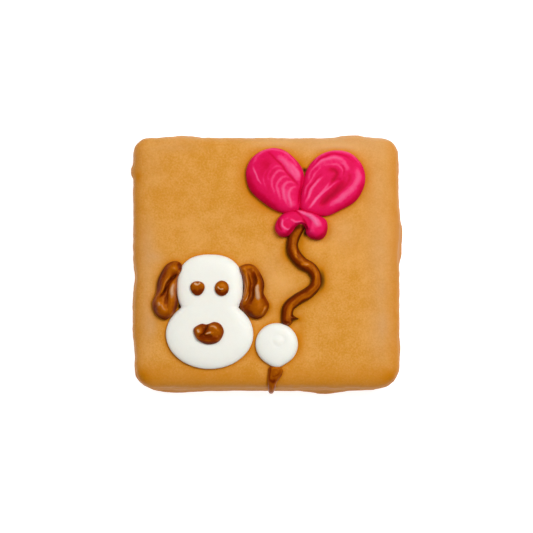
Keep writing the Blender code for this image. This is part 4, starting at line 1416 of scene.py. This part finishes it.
def lay_line(name, places, left, right, rise, up, finish, marks, tones, wobble, seed):
    chain = bpy.data.meshes.new(name)
    chain.from_pydata([Vector(place) for place in places], [(i, i + 1) for i in range(len(places) - 1)], [])
    for label, values in (("left", left), ("right", right), ("rise", rise)):
        stored = chain.attributes.new(label, "FLOAT", "POINT")
        stored.data.foreach_set("value", np.asarray(values, np.float32))
    stored = chain.attributes.new("up", "FLOAT_VECTOR", "POINT")
    stored.data.foreach_set("vector", np.asarray(up, np.float32).ravel())
    mesh = grown(link(name, chain), piped_line, {
        "Section points": SECTION_POINTS, "Squareness": LINE_SQUARENESS, "Sink": SINK, "Tuck": TUCK,
        "Wobble depth": wobble, "Wobble length": WOBBLE_LENGTH, "Seed": seed, "Icing": finish,
    })
    for label in ("left", "right", "rise", "up", "across", "middle", "section"):
        if label in mesh.attributes:
            mesh.attributes.remove(mesh.attributes[label])
    emboss(mesh, marks, tones)
    return link(name, mesh)


def on_coating(route):
    """A route in millimetres laid on the coating, in metres."""
    return np.array([(x * MM, y * MM, coating_height(x * MM, y * MM)) for x, y in route])


UP = (0.0, 0.0, 1.0)
print("stations carry: left, right, rise and up")

# %% [markdown]
# ## The string
#
# The balloon's string is one squeeze of brown icing that starts under the knot and winds down to the
# paw. A flat band runs along its right side, as the picture shows it, and its left flank lies lower. Just
# above the paw the nozzle was drawn off to the right, which left a short spur. It could be a curve with
# one thickness, but the hand sped up and slowed down, so every station has its own width.

# %% The string
STRING_HEIGHT = 2.0
STRING_STATIONS = 320
STRING = (  # x, y and half width
    (8.8, 9.9, 1.2), (8.1, 8.3, 1.3), (6.8, 6.0, 1.5), (6.4, 3.9, 1.5), (7.0, 1.8, 1.6), (8.8, -0.3, 1.6),
    (11.1, -1.7, 1.5), (12.3, -3.9, 1.4), (11.9, -6.0, 1.4), (10.2, -7.7, 1.5), (7.5, -9.3, 1.5),
    (5.5, -11.1, 1.5), (5.1, -13.5, 1.5), (5.1, -15.6, 1.4),
)
SPUR_AT, SPUR_HALF, SPUR_LENGTH = -13.8, 0.5, 1.5
SPUR_LEFT_OF = 7.0  # the spur is on the stretch of the string that lies left of this x


def rounded_ends(line, reach, least):
    """How full a line is along its length: 1, and falling off in a round at both ends."""
    travelled = travelled_along(line[:, :2])
    return least + (1 - least) * np.sqrt(fade(travelled, travelled[-1], reach))


STROKES_STRING = (
    (-0.5, 0.2, [(7.5, 3.1), (7.8, 1.8), (8.4, 0.9)]),
    (0.6, 0.15, [(7, 2.9), (7.3, 1.6), (7.8, 0.8)]),
    (0.7, 0.3, [(8.5, -0.7), (9.6, -0.7), (10.6, -0.7)]),
    (0.5, 0.25, [(11.3, 0.0), (11.9, -0.6)]),
    (0.5, 0.25, [(12.1, -2.7), (12.1, -4.4), (11.7, -5.6)]),
    (0.5, 0.3, [(6.3, -10.6), (5.9, -11.9), (5.8, -13.1)]),
    (0.5, 0.2, [(6.7, -13.5), (7.3, -13.7)]),
    (-0.6, 0.25, [(6.3, -14.2), (7.3, -14.6), (7.7, -14.4)]),
    (-0.5, 0.3, [(4.4, -14.8), (5.5, -15)]),
    (-1.2, 0.5, [(7.0, 8.5), (8.4, 8.6), (9.6, 8.3)]),
)
route = evenly(smooth_curve(STRING, ROUTE_STEPS), STRING_STATIONS)
STRING_MARKS = (
    (flank, route, 0.55, 0.0, 0.02),
    (ridge, [(6.0, -10.8, 0.3), (5.8, -12.4, 0.35), (6.3, -13.6, 0.3)], 0.18),
    (crease, [(6.6, 2.9, 0.2), (7.0, 2.3, 0.25), (7.6, 1.7, 0.2)], 0.2),
    (crease, [(6.6, -14.0, 0.2), (7.4, -14.3, 0.2), (8.2, -14.1, 0.1)], 0.4),
    (combed, STROKES_STRING, 0.2),
)
# as colour, the low flank and the far edge are painted shade, and the rows add painted highlights on the band
# and painted shade under the knot
STRING_TONES = ((flank, route, 0.9, 1.1, 0.12), (combed, STROKES_STRING, 1.1))
full = rounded_ends(route, reach=1.0, least=0.3)
half = route[:, 2] * full * MM
spur = SPUR_LENGTH * MM * np.exp(-(((route[:, 1] - SPUR_AT) / SPUR_HALF) ** 2)) * (route[:, 0] < SPUR_LEFT_OF)
string = lay_line(
    "balloon_string", on_coating(route[:, :2]), half + spur, half, STRING_HEIGHT * MM * full,
    [UP] * len(route), brown, STRING_MARKS, STRING_TONES, wobble=0.16 * MM, seed=7.0,
)
print("the string is", round(float(travelled_along(route[:, :2])[-1]), 1), "mm long")

# %% [markdown]
# ## The tail
#
# The tail starts as a round bulb at the paw, thins, and runs over the front shoulder and down the
# side. Its path is found on the coating itself: rays that leave a point inside the biscuit, turned
# step by step from upright towards the front, meet the surface along the way down, and the surface's
# normal there is the way that is up for the icing. A straight line could be bent over the edge by hand,
# but found like this it lies on the coating everywhere.

# %% The tail
TAIL = (  # x, way down from where the flat top ends, and half width
    (2.5, -0.4, 1.4), (2.4, 0.3, 1.8), (2.2, 1.3, 1.8), (1.8, 2.4, 1.5), (1.5, 3.4, 1.2), (1.4, 4.4, 1.0),
    (1.3, 5.6, 0.85), (1.25, 6.6, 0.75), (1.2, 7.2, 0.6), (1.2, 7.5, 0.35),
)
TAIL_HEIGHT = 1.4
TAIL_STATIONS = 100
FLAT_END = -25.85
PIVOT = Vector((0, -26.0 * MM, TOP - 4.0 * MM))
TURNS_OVER = np.radians(np.linspace(-25.0, 120.0, 120))
coating_tree = tree_of(cookie)


def way_down(x):
    """The coating's profile over the front edge at this x: distances travelled, places and normals."""
    found = []
    for turn in TURNS_OVER:
        place, normal = coating_tree.ray_cast(
            PIVOT + Vector((x * MM, 0, 0)), Vector((0, -math.sin(turn), math.cos(turn)))
        )[:2]
        found.append((*place, *normal))
    found = np.array(found)
    travelled = travelled_along(found[:, :3]) / MM
    zero = np.interp(-FLAT_END * MM, -found[:, 1], travelled)
    return travelled - zero, found


STROKES_TAIL = (
    (-0.6, 0.15, [(1, -26), (0.9, -27.7), (1, -29.2)]),
    (0.5, 0.2, [(1.3, -26.8), (1.7, -26.1), (3.1, -25.9), (3.9, -26.3), (3.7, -27.1)]),
    (0.3, 0.4, [(2.1, -27.3), (2.6, -26.9)]),
    (-0.35, 0.15, [(1.4, -27.5), (1.9, -28.2), (2.8, -27.7), (3.4, -26.9)]),
    (-0.8, 0.35, [(1.1, -28.9), (1.7, -29.3), (2.3, -28.9)]),
    (0.4, 0.15, [(1.5, -30.2), (1.7, -31.5)]),
    (0.4, 0.12, [(2.5, -29.2), (2.4, -30.9)]),
    (-0.4, 0.1, [(2.1, -30.2), (2.1, -31.5)]),
)
TAIL_MARKS = ((combed, STROKES_TAIL, 0.35),)
# the rows as colour: painted highlights on the bulb and the ridges, and painted shade in its grooves
TAIL_TONES = ((combed, STROKES_TAIL, 0.8),)
stations = evenly(smooth_curve(TAIL, ROUTE_STEPS), TAIL_STATIONS)
places, ups = [], []
for x, way, _ in stations:
    travelled, profile = way_down(x)
    here = np.array([np.interp(way, travelled, column) for column in profile.T])
    places.append(here[:3])
    ups.append(here[3:] / np.linalg.norm(here[3:]))
full = rounded_ends(stations, reach=0.9, least=0.3)
half = stations[:, 2] * full * MM
tail = lay_line(
    "tail_line", places, half, half, TAIL_HEIGHT * MM * full, ups, brown, TAIL_MARKS, TAIL_TONES,
    wobble=0.2 * MM, seed=5.0,
)
print("the tail ends", round((TOP - min(place[2] for place in places)) / MM, 1), "mm below the top")

# %% [markdown]
# ## Where the icing bled, painted shade, and painted sheen
#
# Fat from the icing creeps into the coating round it and leaves a darker, more saturated rim about a
# millimetre wide. The same darker colour is also painted shade: the contact shade beside the icing, and
# the shade on the front shoulder, the lower walls and the left and right edges. Each vertex of the
# coating gets it as an attribute, from how near the closest icing and the edge are. In the few crevices
# where an ear or a lobe meets its neighbour over the coating it goes above 1, which the finish turns
# almost black, a painted shadow, and at a few spots it goes below 0, which makes the coating lighter. A
# second attribute makes the coating paler and duller: in soft spots here and there, and as a painted
# sheen inside the left, right and back edges and a painted highlight along the ledge of the front wall.
# Both also get soft spots, listed one by one. It could all be painted with a brush, but a rim that is
# worked out from distances follows the icing by itself.

# %% Where the coating is dark: bleed and painted shade
BLEED_AND_SHADE, BLEED_AND_SHADE_FALL = 1.2 * MM, 1.6  # how far the fat and the painted contact shade reach, and how fast they end
BLEED_AND_SHADE_END = 4 * BLEED_AND_SHADE
BLED_AND_SHADED_DEPTH = 5 * MM
# painted shade: the front shoulder, the lower walls and the left and right edges are darkened
FRONT_FROM, FRONT_TO, FRONT_SHARE = -22.5 * MM, -28.8 * MM, 0.6
WALL_FROM, WALL_OVER, WALL_SHARE = 2.0, 8.0, 0.85
RIM_WIDTH, RIM_SHARE, RIM_RIGHT = 2.4, 0.5, 1.2
SPOTS_FROM, SPOTS_OVER = 4.0, 5.0  # the height where dark spots start, and over how far they come in
# painted shade: shares above 0 darken the coating, mostly as contact shade beside the icing and at the front
# corners; above 1, in the crevices by the ears and lobes, they are a near black painted shadow; below 0 they
# make it lighter
DARK_SPOTS = (  # x, y, half width, half height and share
    (-31.4, 21.2, 0.8, 1.3, 0.5), (-6.3, 19.0, 1.8, 6.0, 0.28), (-1.8, 13.3, 3.0, 1.7, 0.42),
    (-3.6, 17.0, 1.5, 3.0, 0.35), (25.6, 20.0, 1.2, 5.0, 0.25), (14.5, -3.5, 1.5, 4.5, 0.42),
    (9.4, 4.0, 1.3, 2.6, 0.35), (4.6, 1.6, 1.6, 2.4, 0.5), (8.7, 23.9, 1.5, 2.0, 0.3),
    (1.0, -11.5, 2.5, 1.6, 0.45), (-3.2, -22.5, 1.2, 2.0, 0.35), (8.6, -17.5, 0.9, 5.0, 0.5),
    (-30.4, -27.9, 2.5, 2.5, 0.5), (30.6, -28.2, 2.5, 2.5, 0.5), (2.0, 29.0, 5.0, 1.2, -0.5),
    (17.5, 28.6, 5.0, 1.0, -0.3), (3.6, -5.0, 3.6, 3.4, -0.38), (7.6, -8.0, 1.6, 1.2, -0.5),
    (-3.5, 2.0, 5.0, 3.5, -0.14), (2.9, 7.7, 1.8, 1.8, -0.35), (12.5, 4.6, 2.4, 1.6, -0.4),
    (17.0, 3.0, 5.0, 6.0, -0.12), (15.0, -27.0, 14.0, 1.8, -0.12), (-1.4, -26.6, 2.0, 1.4, -0.3),
    (13.6, -5.8, 1.2, 2.2, 0.4), (0.0, 31.2, 34.0, 0.9, 0.12), (13.9, -3.2, 0.7, 3.0, 0.4),
    (9.0, 4.6, 0.6, 1.6, 0.4), (-24.0, 18.0, 7.0, 9.0, 0.08), (-21.25, -11.0, 0.42, 0.55, 1.9),
    (-6.5, -10.75, 0.42, 0.5, 1.9), (9.5, 22.7, 0.5, 0.6, 1.5), (9.6, 6.9, 0.4, 0.8, 1.2),
)
print("dark and light spots:", len(DARK_SPOTS))

# %% Where the coating is paler: soft spots and painted sheen
# x, y, half width, half height and share; along the left, right and back edges these are a painted sheen, on
# the front wall a painted highlight of its ledge, the rest soft paler spots
MILK_AND_SHEEN_SPOTS = (
    (-29.3, 3.0, 2.4, 8.0, 0.45), (-29.3, -13.5, 2.0, 8.0, 0.35), (-26.8, 1.2, 2.0, 1.5, 0.3),
    (-28.5, 24.0, 4.0, 6.0, 0.15), (27.5, 20.0, 4.0, 10.0, 0.36), (28.0, 2.5, 3.2, 9.0, 0.4),
    (28.0, -17.0, 3.0, 9.0, 0.35), (28.7, -15.5, 1.2, 3.0, 0.25), (16.0, 29.0, 17.0, 3.0, 0.4),
    (2.0, 30.6, 34.0, 0.8, 0.25), (1.5, -2.5, 3.0, 6.0, 0.22), (19.0, 7.0, 4.0, 5.0, 0.28),
    (4.5, -5.5, 2.5, 2.5, 0.25), (28.5, -7.0, 1.5, 3.0, 0.2), (-22.0, 28.5, 6.0, 1.5, 0.25),
    (-27.8, -15.5, 1.5, 3.0, 0.3), (2.0, 29.4, 6.0, 1.2, 0.35), (17.5, 28.8, 6.0, 1.2, 0.35),
    (33.2, 4.0, 1.0, 6.0, 0.6), (31.4, 0.0, 1.5, 24.0, 0.15), (32.8, 9.8, 0.8, 4.0, 0.5),
    (-1.0, -30.35, 26.0, 0.32, 0.6), (6.1, -30.4, 0.5, 0.3, 1.0), (8.7, -30.3, 0.4, 0.3, 0.8),
)
print("milky spots:", len(MILK_AND_SHEEN_SPOTS))

# %% How far the bleed and the painted contact shade reach
BLED_AND_SHADED_FROM = (  # each piece and how far its fat and its painted contact shade reach, as a share of the reach above
    (face, 0.8), (paw, 0.85), (ear_left, 0.75), (ear_right, 0.6), (lobe_left, 1.2), (lobe_right, 0.85),
    (knot, 0.85), (string, 0.85), (tail, 0.9),
)
near_trees = [(tree_of(piece), share) for piece, share in BLED_AND_SHADED_FROM]


def bleed_and_shade_at(place):
    found = [(tree.find_nearest(place, BLEED_AND_SHADE_END)[3], share) for tree, share in near_trees]
    away = min((distance / share for distance, share in found if distance is not None), default=BLEED_AND_SHADE_END)
    return math.exp(-((away / BLEED_AND_SHADE) ** BLEED_AND_SHADE_FALL))


def spotted(x, y, spots):
    """How much the soft spots cover each place."""
    return sum(
        share * np.exp(-(((x - at_x) / a) ** 2) - ((y - at_y) / b) ** 2) for at_x, at_y, a, b, share in spots
    )


print("the halo is", round(math.exp(-(0.5 ** BLEED_AND_SHADE_FALL)), 2), "strong half way out")

# %% Paint the coating
x, y, z = (inside / MM).T
high = z * MM > TOP - BLED_AND_SHADED_DEPTH
# the fat's rim near the icing, partly painted contact shade, then painted shade on the walls, the front
# shoulder and the side edges, and the listed spots of painted shade and, in the crevices, painted shadow
bled_and_shaded = np.array([bleed_and_shade_at(vertex.co) if near else 0.0 for vertex, near in zip(cookie.data.vertices, high)])
wall = WALL_SHARE * smooth_share((TOP / MM - WALL_FROM - z) / WALL_OVER)
front = FRONT_SHARE * smooth_share((y * MM - FRONT_FROM) / (FRONT_TO - FRONT_FROM))
rim = RIM_SHARE * np.exp(-((np.maximum(SIDE_X - np.abs(x), 0) / RIM_WIDTH) ** 2))
rim = rim * np.where(x > 0, RIM_RIGHT, 1.0)
dark = spotted(x, y, DARK_SPOTS) * smooth_share((z - SPOTS_FROM) / SPOTS_OVER)
painted = {
    "halo": np.maximum.reduce([bled_and_shaded, wall, front, rim]) + dark,
    "milk": spotted(x, y, MILK_AND_SHEEN_SPOTS),
}
for label, values in painted.items():
    stored = cookie.data.attributes.new(label, "FLOAT", "POINT")
    stored.data.foreach_set("value", np.clip(values, -1, 2).astype(np.float32))
print("vertices in a halo:", int((painted["halo"] > 0.1).sum()))

# %% [markdown]
# ## The table and the light
#
# A plain white light table and soft studio light, as for a product photo on pure white. The key is a
# large soft box high at the back right, which leaves the lower left sides of the icing and of the
# biscuit darker. A weak one at the back left lifts them a little, and the white surroundings do the
# rest. A picture of a real studio could light it as well, but two lamps are enough and need no file.

# %% The table
FLOOR_HALF = 0.6
CORNERS = ((-1, -1), (1, -1), (1, 1), (-1, 1))

floor_mesh = bpy.data.meshes.new("table")
floor_mesh.from_pydata([(x * FLOOR_HALF, y * FLOOR_HALF, 0) for x, y in CORNERS], [], [(0, 1, 2, 3)])
table = link("table", floor_mesh)
paper, _, paper_shader, _ = new_finish("white_paper")
set_sockets(paper_shader, {
    "Base Color": linear("#B4B4B4"), "Emission Color": linear("#FFFFFF"), "Emission Strength": 0.88,
    "Roughness": 0.9, "Specular IOR Level": 0.1,
})
floor_mesh.materials.append(paper)
table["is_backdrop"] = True
print("the table is", 2 * FLOOR_HALF, "m wide")

# %% The light
LAMPS = (  # name, place and side in metres, and power in watts
    ("key", (0.13, 0.10, 0.36), 0.19, 1.15), ("left", (-0.28, 0.14, 0.38), 0.20, 0.30),
)

world = bpy.data.worlds.new("studio")
world.use_nodes = True
set_sockets(world.node_tree.nodes["Background"], {"Color": linear("#FFFFFF"), "Strength": 0.26})
bpy.context.scene.world = world


def soft_box(name, place, size, power):
    data = bpy.data.lights.new(name, "AREA")
    data.shape = "SQUARE"
    data.size = size
    data.energy = power
    lamp = bpy.data.objects.new(name, data)
    lamp.location = place
    lamp.rotation_euler = (Vector((0, 0, TOP)) - Vector(place)).to_track_quat("-Z", "Y").to_euler()
    bpy.context.scene.collection.objects.link(lamp)


for lamp in LAMPS:
    soft_box(*lamp)
print("lights:", ", ".join(name for name, *_ in LAMPS))

# %% [markdown]
# ## Hand over
#
# Each piece rides on the one body of the model, and the imported solid that it dresses is hidden. One
# list gives each piece, its imported solid and the slot of its finish, so that no piece can be
# forgotten. The size of the dressed model is printed.

# %% Hand over
DRESSED = (
    (cookie, "cookie", "caramel_coating"), (face, "puppy_head", "white_icing"), (paw, "paw", "white_icing"),
    (ear_left, "ear_left", "brown_icing"), (ear_right, "ear_right", "brown_icing"),
    (eye_left, "eye_left", "brown_icing"), (eye_right, "eye_right", "brown_icing"),
    (nose, "nose", "brown_icing"),
    (lobe_left, "balloon_left", "pink_icing"), (lobe_right, "balloon_right", "pink_icing"),
    (knot, "balloon_knot", "pink_icing"), (string, "string", "brown_icing"), (tail, "tail", "brown_icing"),
)
for piece, node, slot in DRESSED:
    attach(piece, "root")
    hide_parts(node)

low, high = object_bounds()
print("dressed size in mm:", [round(1000 * side, 1) for side in high - low])
